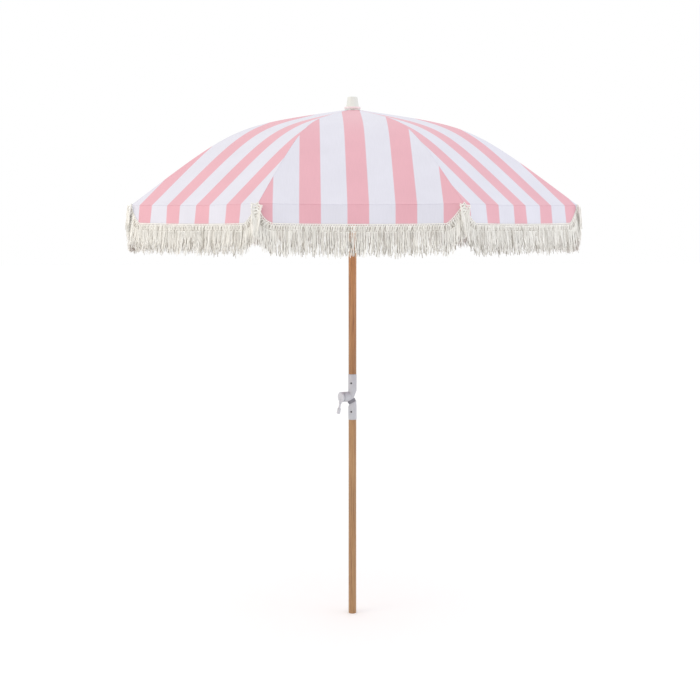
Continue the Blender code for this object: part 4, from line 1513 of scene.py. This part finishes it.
@dataclass
class Studio:
    """A pale floor, soft lights and the camera."""

    reach: float = 40.0  # the floor ends this far from the pole
    aim_height: float = 1.5  # the lights face the pole's axis at this height
    distance: float = 5.0
    height: float = 1.6194
    pitch: float = math.radians(5.99)
    azimuth: float = math.radians(-1.9)
    slide: float = -0.010
    lens: float = 63.75  # in the camera's own millimetres, as is the sensor
    sensor: float = 36.0

    def build_floor(self) -> None:
        """Lay a wide matt floor."""
        mesh = bpy.data.meshes.new("floor")
        reach = self.reach
        mesh.from_pydata(
            [(-reach, -reach, 0), (reach, -reach, 0), (reach, reach, 0), (-reach, reach, 0)],
            [], [(0, 1, 2, 3)],
        )
        floor = link_object("studio_floor", mesh)
        # seamless paper: plain white, very matt, with a faint tooth
        material, tree, shader = new_material("white_seamless_paper")
        place = add_node(tree, "ShaderNodeTexCoord")
        tooth = add_node(
            tree, "ShaderNodeTexNoise", {0: (place, "Object"), "Scale": 60.0, "Detail": 2.0}
        )
        bump = add_node(
            tree, "ShaderNodeBump", {"Height": tooth, "Strength": 0.05, "Distance": 0.5 * MM}
        )
        tree.links.new(bump.outputs[0], shader.inputs["Normal"])
        shader.inputs["Base Color"].default_value = linear("F6F6F6")
        shader.inputs["Roughness"].default_value = 0.95
        # a little light of its own, so that the paper fades into the air behind it
        shader.inputs["Emission Color"].default_value = linear("FFFFFF")
        shader.inputs["Emission Strength"].default_value = 0.1
        mesh.materials.append(material)

    def build(self) -> None:
        """Set the studio up."""
        scene = bpy.context.scene
        self.build_floor()
        for lamp in LAMPS:
            lamp.build(Vector((0, 0, self.aim_height)))
        world = bpy.data.worlds.new("studio_air")
        world.use_nodes = True
        air = world.node_tree.nodes["Background"]
        air.inputs["Color"].default_value = linear("FFFFFF")
        air.inputs["Strength"].default_value = 1.0
        scene.world = world
        scene.view_settings.view_transform = "Standard"
        data = bpy.data.cameras.new("camera")
        data.lens = self.lens
        data.sensor_width = self.sensor
        camera = bpy.data.objects.new("camera", data)
        turn = Matrix.Rotation(self.azimuth, 3, "Z")
        camera.location = turn @ Vector((self.slide, -self.distance, self.height))
        camera.rotation_euler = (math.pi / 2 - self.pitch, 0, self.azimuth)
        scene.collection.objects.link(camera)
        scene.camera = camera
        LOG.info("studio: floor, lights and camera")


def main() -> None:
    """Build the parasol, piece by piece."""
    logging.basicConfig(level=logging.INFO, format="%(name)s: %(message)s")
    studio = Studio()
    studio.build()
    canvas = CANVAS.build()
    thread = STITCH_THREAD.build()
    yarn = FRINGE_YARN.build()
    finishes = {
        "ash_upper": UPPER_ASH.build(), "ash_lower": LOWER_ASH.build(),
        "powder": POWDER_COAT.build(), "nylon": NYLON.build(), "black": BLACK_OXIDE.build(),
        "zinc": ZINC.build(), "abs": ABS.build(), "abs_grey": ABS_GREY.build(),
        "enamel": ENAMEL.build(),
    }
    stitches = stitch_grower()
    Roof(canvas, thread, stitches).build()
    Valance(canvas, thread, yarn, stitches, strand_grower(), lattice_grower()).build()
    Hardware(finishes).build()
    ClutchTeeth(finishes["nylon"], tooth_grower()).build()
    FinialWasher(SOFT_WASHER.build()).build()


if __name__ == "__main__":
    main()
